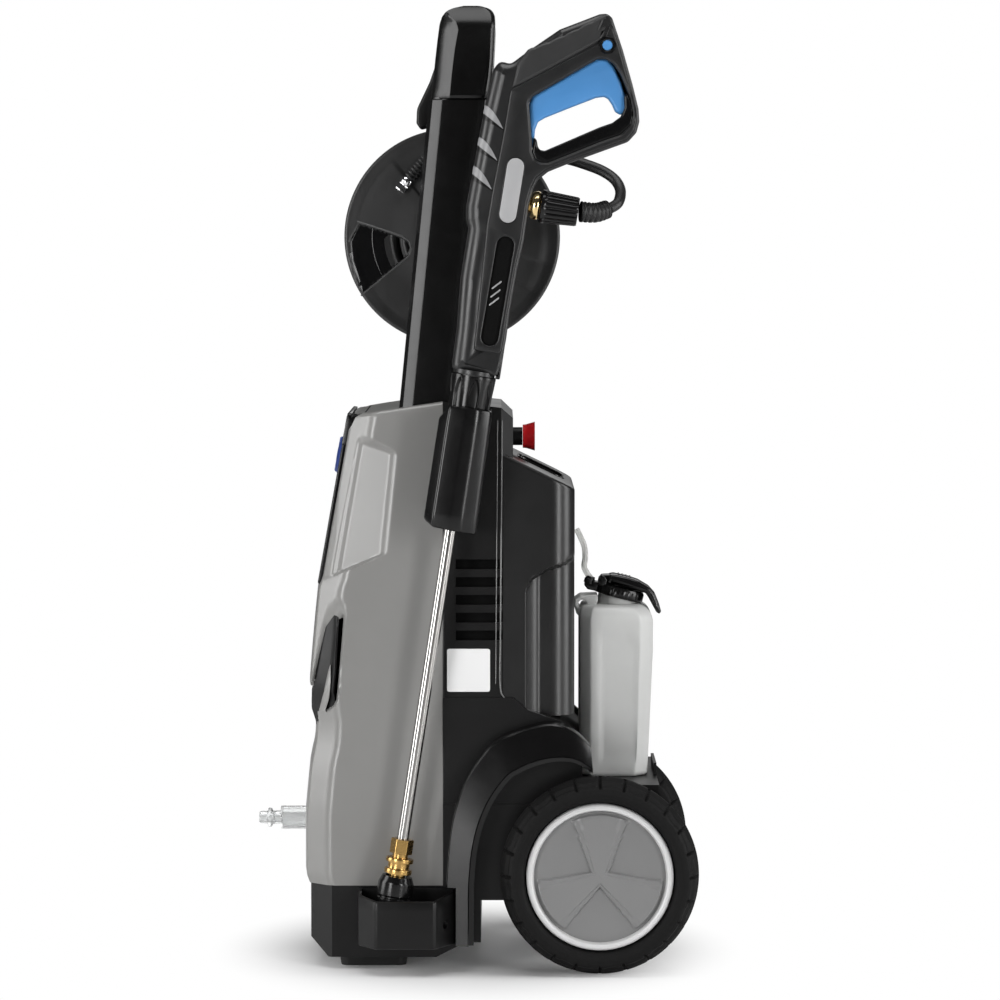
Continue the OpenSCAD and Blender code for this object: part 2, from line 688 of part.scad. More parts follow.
module crank_arm() color(black)
    crank_frame() {
        difference() {
            union() {
                hull() {
                    across(0, 0, 19, crank_y, crank_y + 10, $fn = 32);
                    across(crank_len, 0, 11, crank_y + 2, crank_y + 10, $fn = 32);
                }
                across(0, 0, 17, crank_y - 1.5, crank_y + 14);
            }
            across(0, 0, reel_axle_d / 2 + 0.02, crank_y - 2, column_out + 16 + seat);
        }
        across(crank_len, 0, 4, crank_y + 8, crank_y + 46);
        across(crank_len, 0, 7, crank_y + 44.2, crank_y + 46);
    }

module crank_knob() color(satin_black)
    crank_frame() translate([crank_len, 0, 0]) rotate([-90, 0, 0]) rotate_extrude() polygon([
        [4 + running, crank_y + 10.4], [9, crank_y + 10.4], [12, crank_y + 14], [13, crank_y + 28],
        [12, crank_y + 40], [9, crank_y + 44], [4 + running, crank_y + 44]
    ]);

// ---------------------------------------------------------------- motor and pump

pump_z0 = 96;
head_h = inlet_z - pump_z0 + 10;
pump_h = 66;
motor_z0 = pump_z0 + head_h + pump_h;
motor_h = 212;
fan_h = 26;
fan_r = motor_d / 2 - 10;
core_z0 = motor_z0 + 22;
core_h = 130;
rotor_r = 31;
bridge_z = core_z0 + core_h + 14;

// Brass head: valve block, inlet stub to the front, outlet stub to the left
module pump_head() color(brass)
    difference() {
        union() {
            translate([pump_x, 0, pump_z0]) cylinder(h = head_h, r = pump_d / 2 - 4, $fn = 96);
            translate([pump_x, 0, inlet_z]) rotate([0, -90, 0]) cylinder(h = -front_x + pump_x - 16, r = 10);
            translate([pump_x, -pump_d / 2 - 4, outlet_z]) rotate([-90, 0, 0]) cylinder(h = 30, r = 11);
            for (a = [45:90:315]) translate([pump_x, 0, pump_z0]) rotate([0, 0, a])
                translate([pump_d / 2 - 8, 0, 0]) cylinder(h = head_h, r = 8);
        }
        translate([front_x + 16 - 1, 0, inlet_z]) rotate([0, 90, 0]) cylinder(h = 80, r = 6);
        for (a = [0, 120, 240]) translate([pump_x, 0, 0]) rotate([0, 0, a])
            translate([piston_ring, 0, pump_z0 + head_h - 30]) cylinder(h = 31, r = piston_r + running);
    }

outlet_z = 120;
piston_ring = 25;
piston_r = 7;
shaft_foot = pump_z0 + head_h + 24;
wobble_z = shaft_foot + 2;

module pump_body() color(alloy)
    translate([pump_x, 0, pump_z0 + head_h]) difference() {
        translate([0, 0, seat]) cylinder(h = pump_h - seat, r = pump_d / 2, $fn = 96);
        translate([0, 0, -1]) cylinder(h = pump_h - 7, r = pump_d / 2 - 6, $fn = 96);
        cylinder(h = pump_h + 1, r = shaft_d / 2 + running);
    }

// Three plungers standing in the head under the wobble plate
module pistons() color(steel)
    for (a = [0, 120, 240]) translate([pump_x, 0, 0]) rotate([0, 0, a])
        translate([piston_ring, 0, pump_z0 + head_h - 28]) cylinder(h = 28 + 26, r = piston_r);

module wobble_plate() color(steel)
    translate([pump_x, 0, wobble_z]) difference() {
        union() {
            cylinder(h = 16, r = shaft_d / 2 + 7);
            translate([0, 0, 10]) rotate([0, 8, 0]) cylinder(h = 8, r = 36, center = true);
        }
        translate([0, 0, -1]) cylinder(h = 40, r = shaft_d / 2 + 0.03);
    }

module motor_housing() color(alloy)
    translate([pump_x, 0, 0]) {
        difference() {
            union() {
                translate([0, 0, motor_z0]) cylinder(h = motor_h, r = motor_d / 2 - 3, $fn = 96);
                for (a = [0:15:345]) rotate([0, 0, a])
                    translate([motor_d / 2 - 6, -1.2, motor_z0 + 8]) cube([6, 2.4, motor_h - 50]);
            }
            translate([0, 0, motor_z0 + 6]) cylinder(h = core_z0 - motor_z0 - 6 + 0.01, r = motor_d / 2 - 9);
            translate([0, 0, core_z0 - 1]) cylinder(h = core_h + 2, r = rotor_r + 0.6);
            translate([0, 0, core_z0 + core_h]) cylinder(h = bridge_z - core_z0 - core_h, r = motor_d / 2 - 9);
            translate([0, 0, bridge_z + 8]) cylinder(h = 80, r = fan_r + 2);
            translate([0, 0, motor_z0 - 1]) cylinder(h = 8, r = shaft_d / 2 + running);
            translate([0, 0, bridge_z - 1]) cylinder(h = 10, r = shaft_d / 2 + running);
            for (a = [0:60:300]) rotate([0, 0, a]) translate([38, 0, bridge_z - 1]) cylinder(h = 10, r = 8);
        }
    }

fan_z = bridge_z + 11;
module rotor() color(steel)
    translate([pump_x, 0, 0]) {
        translate([0, 0, shaft_foot]) cylinder(h = fan_z + fan_h - shaft_foot, r = shaft_d / 2);
        translate([0, 0, core_z0 + 2]) cylinder(h = core_h - 4, r = rotor_r);
    }

module fan() color(black)
    translate([pump_x, 0, fan_z]) difference() {
        union() {
            cylinder(h = fan_h, r = shaft_d / 2 + 6);
            cylinder(h = 3, r = fan_r - 3);
            for (a = [0:40:320]) rotate([0, 0, a]) translate([shaft_d / 2 + 4, -1.5, 0])
                cube([fan_r - shaft_d / 2 - 8, 3, fan_h - 4]);
        }
        translate([0, 0, -1]) cylinder(h = fan_h + 2, r = shaft_d / 2 + 0.03);
    }

module capacitor() color(alloy)
    translate([pump_x, motor_d / 2 + seat + 20, motor_z0 + 40]) {
        cylinder(h = 90, r = 20);
        translate([0, 0, 90]) cylinder(h = 8, r = 12);
    }

// Mains switch behind the panel, with a socket for the dial's spindle
module switch_box() color(black)
    panel_frame() difference() {
        box(6, 46, -26, 26, -32, 32);
        translate([5, 0, 0]) rotate([0, 90, 0]) cylinder(h = 24, r = 6 + running + 0.04);
    }

pipe_y = -column_gap / 2 - wall - 11;
elbow_z = reel_z - 16;
// Steel pipe from the pump head up inside the left column to the reel's axle
module outlet_pipe() color(steel)
    difference() {
        union() {
            swept_tube([
                [pump_x, -pump_d / 2 - 4, outlet_z], [pump_x, pipe_y + 14, outlet_z], [pump_x, pipe_y + 6, outlet_z + 1.5],
                [pump_x, pipe_y, outlet_z + 6], [pump_x, pipe_y - 2, outlet_z + 14], [pump_x, pipe_y - 2, column_foot - 60],
                [column_x(column_foot - 20) - 3, pipe_y - 2, column_foot - 20],
                [column_x(column_foot + 20), pipe_y - 2, column_foot + 20],
                [column_x(elbow_z), pipe_y - 2, elbow_z + 5]
            ], 5, 5, 12);
            box(reel_x - 15, reel_x + 15, pipe_y - 9, pipe_y + 9, reel_z - 16, reel_z + 15);
        }
        across(reel_x, reel_z, reel_axle_d / 2 + running, pipe_y - 0.5, pipe_y + 12);
    }

// Clear water inlet with a filter cage, screwed on at the front
module inlet_housing() color(clear)
    difference() {
        union() {
            across_x(inlet_z, 12, -203, front_x + 16);
            across_x(inlet_z, 7, -209, -202);
        }
        across_x(inlet_z, 9, -201, front_x + 13);
        across_x(inlet_z, 4, -210, front_x + 17);
    }

module inlet_plug() color(black)
    translate([0, 0, inlet_z]) rotate([0, -90, 0]) rotate_extrude() polygon([
        [4, 209], [7, 209], [7, 211.5], [10, 212.5], [10, 216], [6.5, 217], [6.5, 223], [5.5, 225.5], [4, 225.5]
    ]);

module metering_valve() color(black) {
    across_x(535, stem_r, rear_x - 18, rear_x + 10);
    across_x(535, 14, rear_x - 18, rear_x - wall - 1 - seat);
}

module metering_knob() color(red)
    translate([rear_x + 10 + seat, 0, 535]) rotate([0, 90, 0]) rotate_extrude() polygon([
        [0, 0], [12, 0], [12.5, 4], [15, 12.5], [0, 12.5]
    ]);

module power_dial() color(blue)
    panel_frame() {
        translate([-seat, 0, 0]) rotate([0, -90, 0]) rotate_extrude() polygon([
            [0, 0], [27.5, 0], [27.5, 2], [25, 4], [18, 5.4], [0, 6]
        ]);
        translate([-1, 0, 0]) rotate([0, 90, 0]) cylinder(h = 27, r = 6);
    }

// ---------------------------------------------------------------- gun and lance

gun_at = [-1.2, -151, 603.5];
module gun_frame() translate(gun_at) rotate([0, lance_lean, 0]) children();

tip_w = -541.5;
sleeve_w = -508;
tube_w = -481;

// Gun outline in its own frame: x towards the rear, z along the lance
gun_points = [
    [-23, 2], [-24, 42], [-28, 93], [-28, 141], [-33, 158], [-33, 168], [-30, 262], [-27, 306], [-21, 313],
    [-10, 311], [3, 327], [32, 354], [69, 376], [76, 376], [82, 371], [97, 342], [112, 309], [122, 285],
    [124, 273], [122, 260], [114, 251], [91, 238], [63, 223], [42, 211], [33, 200], [29, 186], [28.5, 155],
    [26.5, 110], [26, 40], [23, 2]
];
loop_points = [
    [23, 226], [28, 220], [34, 218], [42, 220], [89, 248], [108, 258], [116, 269], [117, 280], [112, 294],
    [98, 318], [86, 329], [73, 328], [16, 282], [13, 272]
];
pivot_at = [81.3, 0, 343.4];
cavity_points = [
    [30, 222], [-3, 221], [-10, 262], [-6, 296], [-3, 305], [7, 311], [56, 344], [70, 353], [84, 355], [94, 346], [100, 330],
    [118, 282], [100, 262], [40, 222]
];

module gun_solid() {
    t = gun_t / 2;
    difference() {
        union() {
            side_plate(gun_points, -t + 4, t - 4);
            side_plate([for (p = gun_points) [p.x + (p.x < 0 ? 3 : -2.5), p.y + (p.y > 200 ? -2 : 1)]], -t, t);
            translate([-8, 0, 8]) cylinder(h = 295, r = 18);
            cylinder(h = 36, r = socket_d / 2);
            across(pivot_at.x, pivot_at.z, 9, -t - 1.5, t + 1.5);
        }
        side_plate(loop_points, -40, 40);
        side_plate(cavity_points, -8.6, 8.6);
        both_sides() hull() {
            across(13.5, 130, 7, t - 5, 40, $fn = 32);
            across(13.5, 42, 7, t - 5, 40, $fn = 32);
        }
        translate([-2, 0, -1]) cylinder(h = 215, r = valve_r + 0.1);
        translate([0, 0, 176]) rotate([0, 90, 0]) cylinder(h = 50, r = 8.1);
        for (w = [182, 211, 242]) translate([-30, 0, w]) rotate([0, 35, 0]) box(-12, 14, -40, 40, -2, 2);
        across(pivot_at.x, pivot_at.z, 5 + running, -40, 40);
        box(-60, 200, -40, 40, -5, 0);
    }
}

valve_r = 11;

module gun_half()
    intersection() {
        gun_solid();
        box(-60, 200, -40, 0, -5, 400);
    }

module gun_shell_left() color(satin_black) gun_frame() gun_half();

module gun_shell_right() color(satin_black) gun_frame() mirror([0, 1, 0]) gun_half();

// Brass valve inside the gun, with the hose stub to the rear
module gun_valve() color(brass)
    gun_frame() {
        translate([-2, 0, 0.5]) cylinder(h = 205, r = valve_r);
        translate([0, 0, 176]) rotate([0, 90, 0]) cylinder(h = 44, r = 8);
        translate([31, 0, 176]) rotate([0, 90, 0]) cylinder(h = 8, r = 13, $fn = 6);
    }

nut_x0 = 40;
nut_len = 38;
module hose_nut() color(satin_black)
    gun_frame() translate([nut_x0, 0, 176]) rotate([0, 90, 0]) difference() {
        union() {
            cylinder(h = nut_len, r1 = 16, r2 = 15);
            for (a = [0:30:330]) rotate([0, 0, a]) translate([14.4, -2, 0]) cube([2.8, 4, nut_len - 4]);
        }
        translate([0, 0, -1]) cylinder(h = 6, r = 8.1);
        cylinder(h = 5, r = 8.1);
    }

// Route of the hose: sleeve at the gun, then the free stretch to the reel
sleeve_route = [[105, -151, 766], [120, -148, 765], [132, -141, 768.5]];
hose_route = [
    [134, -140, 769], [143, -132, 775], [146, -113, 787], [141, -100, 798], [129, -90, 807], [112, -80, 814],
    [92, -66, 820], [70, -48, 822], [45, -37, 818], [20, -30, 810], [-2, -27, 804], [-24, -26, 801]
];

module hose_sleeve() color(rubber) swept_tube(smooth(sleeve_route, 4), 9, 7.5, 12);

module pressure_hose() color(rubber) swept_tube(smooth(hose_route, 1), hose_d / 2, hose_d / 2, 10);

// Bayonet socket that joins the lance to the gun and sits in the holster
module lance_socket() color(satin_black)
    gun_frame() difference() {
        rotate_extrude() polygon([
            [0, -seat], [socket_d / 2, -seat], [socket_d / 2, -12], [socket_d / 2 - 2, -16], [socket_d / 2 - 2, -44],
            [16, -62], [11, -96], [lance_d / 2 + 0.02, -96], [lance_d / 2 + 0.02, -30], [0, -30]
        ]);
        for (a = [0:30:330]) rotate([0, 0, a]) translate([socket_d / 2, 0, -42]) cylinder(h = 26, r = 3.2);
    }

module lance_tube() color(steel)
    gun_frame() translate([0, 0, tube_w + 0.2]) difference() {
        cylinder(h = -tube_w - 30.4, r = lance_d / 2);
        translate([0, 0, -1]) cylinder(h = -tube_w, r = lance_d / 2 - 2);
    }

// Brass quick coupler: hexagon body, sliding sleeve with two collars
module coupler_body() color(brass)
    gun_frame() difference() {
        union() {
            translate([0, 0, sleeve_w + 16 + sleeve_travel + seat]) cylinder(h = 15, r = 11.5, $fn = 6);
            translate([0, 0, sleeve_w - 4]) cylinder(h = 25, r = 8);
        }
        translate([0, 0, tube_w]) cylinder(h = 30, r = lance_d / 2 + 0.02);
        translate([0, 0, -530]) cylinder(h = 60, r = 5.5 + 0.02);
    }

module coupler_sleeve() color(brass)
    gun_frame() translate([0, 0, sleeve_w]) difference() {
        union() {
            cylinder(h = 5, r = 14);
            cylinder(h = 16, r = 11);
            translate([0, 0, 11.5]) cylinder(h = 4.5, r = 14);
        }
        translate([0, 0, -1]) cylinder(h = 30, r = 8 + running);
    }

// Steel stem with a rounded black protector cup; the stem's tip clears the foot's floor
module spray_nozzle() color(black)
    gun_frame() translate([0, 0, tip_w]) {
        cylinder(h = 60, r = 5.5);
        rotate_extrude() polygon([
            [0, 0], [14, 0], [17, 3], [17, 8], [16, 9], [16, 10], [18, 12], [18, 24], [15, 31], [12, 31], [11, 26], [0, 26]
        ]);
    }

trigger_points = [
    [13.5, 276], [10, 284], [60, 330], [70, 338], [76, 336], [82, 329.5], [90, 321], [98, 310], [106, 295], [111, 281],
    [105, 277.5], [99, 280], [95, 286], [90, 291.5], [86, 293], [78, 291], [54, 277], [31, 263], [25, 258],
    [24, 250], [25, 225], [18, 232], [15, 250]
];
trigger_t = 15;
module trigger() color(blue)
    gun_frame() {
        side_plate(trigger_points, -trigger_t / 2, trigger_t / 2);
        across(pivot_at.x, pivot_at.z, 8.5, -trigger_t / 2, trigger_t / 2);
        across(pivot_at.x, pivot_at.z, 5, -gun_t / 2 - 1, gun_t / 2 + 1);
        side_plate([[70, 330], [88, 324], [90, 343], [73, 343]], -trigger_t / 2, trigger_t / 2);
    }

// Cup on the housing's left side that holds the gun's socket
holster_in = socket_d / 2 + 1.5;
module holster() color(satin_black)
    intersection() {
        gun_frame() difference() {
            union() {
                translate([0, 0, -157]) cylinder(h = 124, r = holster_in + wall);
                side_plate([[-28, -52], [-26, -148], [-20, -153], [22, -157], [25, -60], [22, -33], [-16, -33], [-24, -44]], -20, 30);
            }
            translate([0, 0, -170]) cylinder(h = 150, r = holster_in);
        }
        box(-150, 150, -200, -side_at(460) - seat, 400, 620);
    }

// ---------------------------------------------------------------- detergent bottle

cap_lean = 14;
bottle_top = tray_z + bottle_h;
cap_at = [bottle_x0 + 38, 0, bottle_top + 9];
lip_z = bottle_top - 5;
module cap_frame() translate(cap_at) rotate([0, cap_lean, 0]) children();

module bottle_form(t) {
    hull() {
        for (x = [bottle_x0 + 10, bottle_x0 + bottle_d - 10], s = [-1, 1])
            translate([x, s * (bottle_w / 2 - 14), tray_z + seat + t]) cylinder(h = bottle_h - 14 - 2 * t, r = 10 - t, $fn = 32);
        for (x = [bottle_x0 + 16, bottle_x0 + bottle_d - 22], s = [-1, 1])
            translate([x, s * (bottle_w / 2 - 22), bottle_top - 2 - t]) cylinder(h = 2, r = 10 - t, $fn = 32);
    }
    cap_frame() translate([0, 0, -20]) cylinder(h = 24, r = neck_d / 2 - t);
}

module bottle() color(white)
    difference() {
        union() {
            bottle_form(0);
            difference() {
                side_plate([[bottle_x0 + 8, lip_z - 17], [bottle_x0 - 4, lip_z - 5], [bottle_x0 - 6, lip_z + 5],
                    [bottle_x0, lip_z + 10], [bottle_x0 + 20, lip_z + 5]], -22, 22);
                across(bottle_x0 + 4, lip_z, 4, -30, 30);
            }
        }
        bottle_form(2.2);
        cap_frame() cylinder(h = 20, r = neck_d / 2 - 2.2);
    }

cap_r = 27;
hinge_x = -20;
hinge_w = 12;
module bottle_cap() color(black)
    cap_frame() {
        difference() {
            union() {
                translate([0, 0, -2]) cylinder(h = 10, r = cap_r);
                box(-38, -26, -11, 11, -2, 7);
            }
            translate([0, 0, -3]) cylinder(h = 9, r = neck_d / 2 + seat);
            cylinder(h = 20, r = neck_d / 2 - 6);
            box(hinge_x - 4, hinge_x + 30, -hinge_w, hinge_w, 8, 20);
        }
        both_sides() box(hinge_x - 4, hinge_x + 4, hinge_w + 0.2, hinge_w + 5, 7, 16);
        across(hinge_x, 12, 2, -hinge_w - 3, hinge_w + 3);
    }

// Flip lid with a pull tab that hooks down at the rear
module bottle_lid() color(black)
    cap_frame() difference() {
        union() {
            side_plate([
                [hinge_x - 2, 15], [hinge_x + 2, 18], [20, 18], [36, 9], [45, -8], [41, -9], [34, 3], [28, 8.6],
                [hinge_x, 8.6]
            ], -hinge_w + seat, hinge_w - seat);
            across(hinge_x, 12, 3.5, -hinge_w + seat, hinge_w - seat);
            translate([2, 0, 8.5]) cylinder(h = 8, r = 20);
        }
        across(hinge_x, 12, 2 + running, -40, 40);
    }

tube_route = [[104, -6, 439], [108, -6, 431], [112, -6, 421], [113, -6, 410], [112, -6, 400], [115, -6, 393], [118.5, -6, 388.5]];
module detergent_tube() color(clear) swept_tube(smooth(tube_route, 2), 3, 3, 8);

// ---------------------------------------------------------------- drawing

base();
feet();
arch_left();
arch_right();
lance_foot();
front_cover();
control_panel();
intake_grille();
rear_housing();
storage_bin();
holster();
column_left();
column_right();
axle();
inlet_housing();
inlet_plug();
pump_head();
pump_body();
pistons();
motor_housing();
capacitor();
switch_box();
outlet_pipe();
metering_valve();
rotor();
fan();
wobble_plate();
handle_grip();
release_lever();
reel_axle();
reel_drum();
reel_flange_left();
reel_flange_right();
hose_coil();
reel_fitting();
crank_arm();
crank_knob();
tyre_left();
tyre_right();
rim_left();
rim_right();
gun_shell_left();
gun_shell_right();
gun_valve();
hose_nut();
hose_sleeve();
lance_socket();
lance_tube();
coupler_body();
coupler_sleeve();
spray_nozzle();
trigger();
power_dial();
metering_knob();
bottle();
bottle_cap();
bottle_lid();
pressure_hose();
detergent_tube();
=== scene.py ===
import math

import bmesh
import bpy
from mathutils import Matrix, Vector
from mathutils.geometry import tessellate_polygon


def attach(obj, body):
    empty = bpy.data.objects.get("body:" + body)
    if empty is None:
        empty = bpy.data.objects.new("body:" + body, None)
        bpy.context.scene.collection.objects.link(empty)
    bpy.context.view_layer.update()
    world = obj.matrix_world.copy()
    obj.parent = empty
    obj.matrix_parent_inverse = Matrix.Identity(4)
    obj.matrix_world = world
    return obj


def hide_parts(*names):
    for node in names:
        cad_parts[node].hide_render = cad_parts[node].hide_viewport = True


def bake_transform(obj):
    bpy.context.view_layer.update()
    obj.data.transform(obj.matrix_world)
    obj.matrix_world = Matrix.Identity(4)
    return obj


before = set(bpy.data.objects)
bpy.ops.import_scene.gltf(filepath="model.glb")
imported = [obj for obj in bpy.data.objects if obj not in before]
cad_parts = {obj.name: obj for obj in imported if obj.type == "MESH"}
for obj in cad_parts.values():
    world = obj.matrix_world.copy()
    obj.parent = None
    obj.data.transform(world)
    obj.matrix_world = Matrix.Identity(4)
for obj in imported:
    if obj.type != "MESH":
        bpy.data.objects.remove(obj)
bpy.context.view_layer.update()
scene = bpy.context.scene
scene.view_settings.view_transform = "Standard"
MM = 0.001
QUARTER, FULL = math.pi / 2, 2 * math.pi

# ---- camera


def add_object(name, data):
    obj = bpy.data.objects.new(name, data)
    scene.collection.objects.link(obj)
    return obj


CAMERA_TILT = 3.45
cam_data = bpy.data.cameras.new("camera")
cam_data.lens, cam_data.sensor_width, cam_data.clip_end = 156.6, 36, 60
scene.camera = add_object("camera", cam_data)
scene.camera.location = (0.0248, -4.5, 0.740)
scene.camera.rotation_euler = (math.radians(90 - CAMERA_TILT), 0, 0)

# ---- mesh helpers, in millimetres


def tidy_faces(mesh, weld=0.0, slivers=False):
    """Turns every face outward, after merging points closer than weld."""
    bm = bmesh.new()
    bm.from_mesh(mesh)
    if weld:
        bmesh.ops.remove_doubles(bm, verts=bm.verts, dist=weld)
    if slivers:
        bmesh.ops.dissolve_degenerate(bm, edges=bm.edges, dist=1e-7)
    bmesh.ops.recalc_face_normals(bm, faces=bm.faces)
    bm.to_mesh(mesh)
    bm.free()


def smooth(obj, angle):
    """Smooth shading, with sharp edges above an angle in degrees."""
    obj.data.polygons.foreach_set("use_smooth", [True] * len(obj.data.polygons))
    obj.data.set_sharp_from_angle(angle=math.radians(angle))
    return obj


def new_object(name, verts, faces, material=None, angle=35):
    mesh = bpy.data.meshes.new(name)
    mesh.from_pydata([Vector(v) * MM for v in verts], [], faces)
    tidy_faces(mesh)
    if material:
        mesh.materials.append(M[material])
    return smooth(add_object(name, mesh), angle)


def quads(rows, wrap=True, ring=False, start=0):
    """Faces between rows of equal length; wrap joins each row's ends, ring the last row to the first."""
    n, count, out = len(rows[0]), len(rows), []
    for i in range(count if ring else count - 1):
        a, b = start + i * n, start + (i + 1) % count * n
        out += [(a + k, a + (k + 1) % n, b + (k + 1) % n, b + k) for k in range(n if wrap else n - 1)]
    return out


def skin(name, rows, material=None, angle=30, wrap=True, ring=False, ends=(True, True), extra=()):
    """A surface over rows of points; ends says which end rows are closed with a face."""
    n = len(rows[0])
    faces = quads(rows, wrap, ring) + list(extra)
    if wrap and not ring:
        faces += [tuple(range(a, a + n)) for a, closed in zip((0, (len(rows) - 1) * n), ends) if closed]
    return new_object(name, [v for row in rows for v in row], faces, material, angle)


def circle(count):
    """Cosine and sine of evenly spread angles."""
    return [(math.cos(FULL * k / count), math.sin(FULL * k / count)) for k in range(count)]


def catmull(points, steps):
    """A smooth path through points."""
    pts = [Vector(p) for p in points]
    out = []
    for i in range(len(pts) - 1):
        a, b, c, d = pts[max(i - 1, 0)], pts[i], pts[i + 1], pts[min(i + 2, len(pts) - 1)]
        for t in [k / steps for k in range(steps)]:
            out.append(0.5 * (2 * b + (c - a) * t + (2 * a - 5 * b + 4 * c - d) * t * t
                              + (3 * b - a - 3 * c + d) * t ** 3))
    return out + [pts[-1]]


def tube(name, points, radius, sides=24, material=None, angle=35):
    """A closed tube along points; radius is a number or a function of (share along, angle)."""
    pts = [Vector(p) for p in points]
    last = len(pts) - 1
    normal, rows = Vector((0, 1, 0.3)), []
    for i, p in enumerate(pts):
        tangent = (pts[min(i + 1, last)] - pts[max(i - 1, 0)]).normalized()
        normal = (normal - normal.dot(tangent) * tangent).normalized()
        side = tangent.cross(normal)
        row = []
        for k, (c, s) in enumerate(circle(sides)):
            r = radius(i / last, FULL * k / sides) if callable(radius) else radius
            row.append(p + r * (c * normal + s * side))
        rows.append(row)
    return skin(name, rows, material, angle)


# ---- materials


class Nodes:
    """A node tree with short calls for the few nodes the finishes share."""

    def __init__(self, owner, output="ShaderNodeOutputMaterial"):
        owner.use_nodes = True
        self.owner, self.tree = owner, owner.node_tree
        self.tree.nodes.clear()
        self.out = self.node(output)

    def node(self, kind, **values):
        """A node; each value sets an attribute, or sets or links the input of that name or number."""
        n = self.tree.nodes.new(kind)
        for key, value in values.items():
            if hasattr(n, key):
                setattr(n, key, value)
                continue
            socket = n.inputs[int(key[1:]) if key[1:].isdigit() else key.replace("_", " ")]
            if isinstance(value, bpy.types.NodeSocket):
                self.tree.links.new(value, socket)
            else:
                socket.default_value = value
        return n

    def noise(self, scale, detail=3.0, rough=0.55, stretch=None):
        source = self.node("ShaderNodeTexCoord").outputs["Object"]
        if stretch:
            source = self.node("ShaderNodeMapping", Vector=source, Scale=stretch).outputs["Vector"]
        return self.node("ShaderNodeTexNoise", Vector=source, Scale=scale, Detail=detail,
                         Roughness=rough).outputs["Fac"]

    def ramp(self, fac, colour, dark, light, low=0.3):
        """The colour, darker and lighter with fac."""
        r = self.node("ShaderNodeValToRGB", Fac=fac)
        for e, at, factor in zip(r.color_ramp.elements, (low, 0.7), (dark, light)):
            e.position, e.color = at, (*[min(1.0, c * factor) for c in colour], 1)
        return r.outputs["Color"]

    def spread(self, fac, low, high):
        return self.node("ShaderNodeMapRange", Value=fac, From_Min=0.3, From_Max=0.7, To_Min=low,
                         To_Max=high).outputs["Result"]

    def bump(self, height, strength, distance, **below):
        return self.node("ShaderNodeBump", Height=height, Strength=strength, Distance=distance,
                         **below).outputs["Normal"]

    def shader(self, **values):
        """The finished material."""
        self.surface = self.node("ShaderNodeBsdfPrincipled", **values).outputs["BSDF"]
        self.tree.links.new(self.surface, self.out.inputs["Surface"])
        return self.owner


def material_nodes(name):
    return Nodes(bpy.data.materials.new(name))


def moulded(name, colour, rough, grain=0.12, specular=0.5, drift=0.12):
    """Moulded plastic: slow tone drift, fine eroded grain in the bump, uneven gloss."""
    n = material_nodes(name)
    pits = n.bump(n.noise(1400, 2, 0.7), grain, 0.0002)
    return n.shader(Base_Color=n.ramp(n.noise(9, 4), colour, 1 - drift, 1 + drift),
                    Roughness=n.spread(n.noise(30, 5, 0.6), *rough),
                    Normal=n.bump(n.noise(14, 2), 0.02, 0.004, Normal=pits), Specular_IOR_Level=specular)


def metal(name, colour, rough, streak=(1, 1, 1), bump=0.0):
    n = material_nodes(name)
    fac = n.noise(60, 4, 0.6, streak)
    return n.shader(Base_Color=n.ramp(fac, colour, 0.9, 1.06), Roughness=n.spread(fac, *rough),
                    Normal=n.bump(fac, bump, 0.0003), Metallic=1.0)


def rubbery(name, colour, rough, grain, scale=700, specular=0.4):
    n = material_nodes(name)
    dust = n.noise(20, 6, 0.65)
    return n.shader(Base_Color=n.ramp(dust, colour, 0.8, 1.35, 0.35), Roughness=n.spread(dust, *rough),
                    Normal=n.bump(n.noise(scale, 3, 0.6), grain, 0.0003), Specular_IOR_Level=specular)


def translucent(name, colour, transmission, rough, drift=0.04):
    n = material_nodes(name)
    return n.shader(Base_Color=n.ramp(n.noise(12, 4), colour, 1 - drift, 1 + drift),
                    Roughness=n.spread(n.noise(40, 4), *rough), Transmission_Weight=transmission, IOR=1.45,
                    Normal=n.bump(n.noise(300, 2), 0.03, 0.0003))


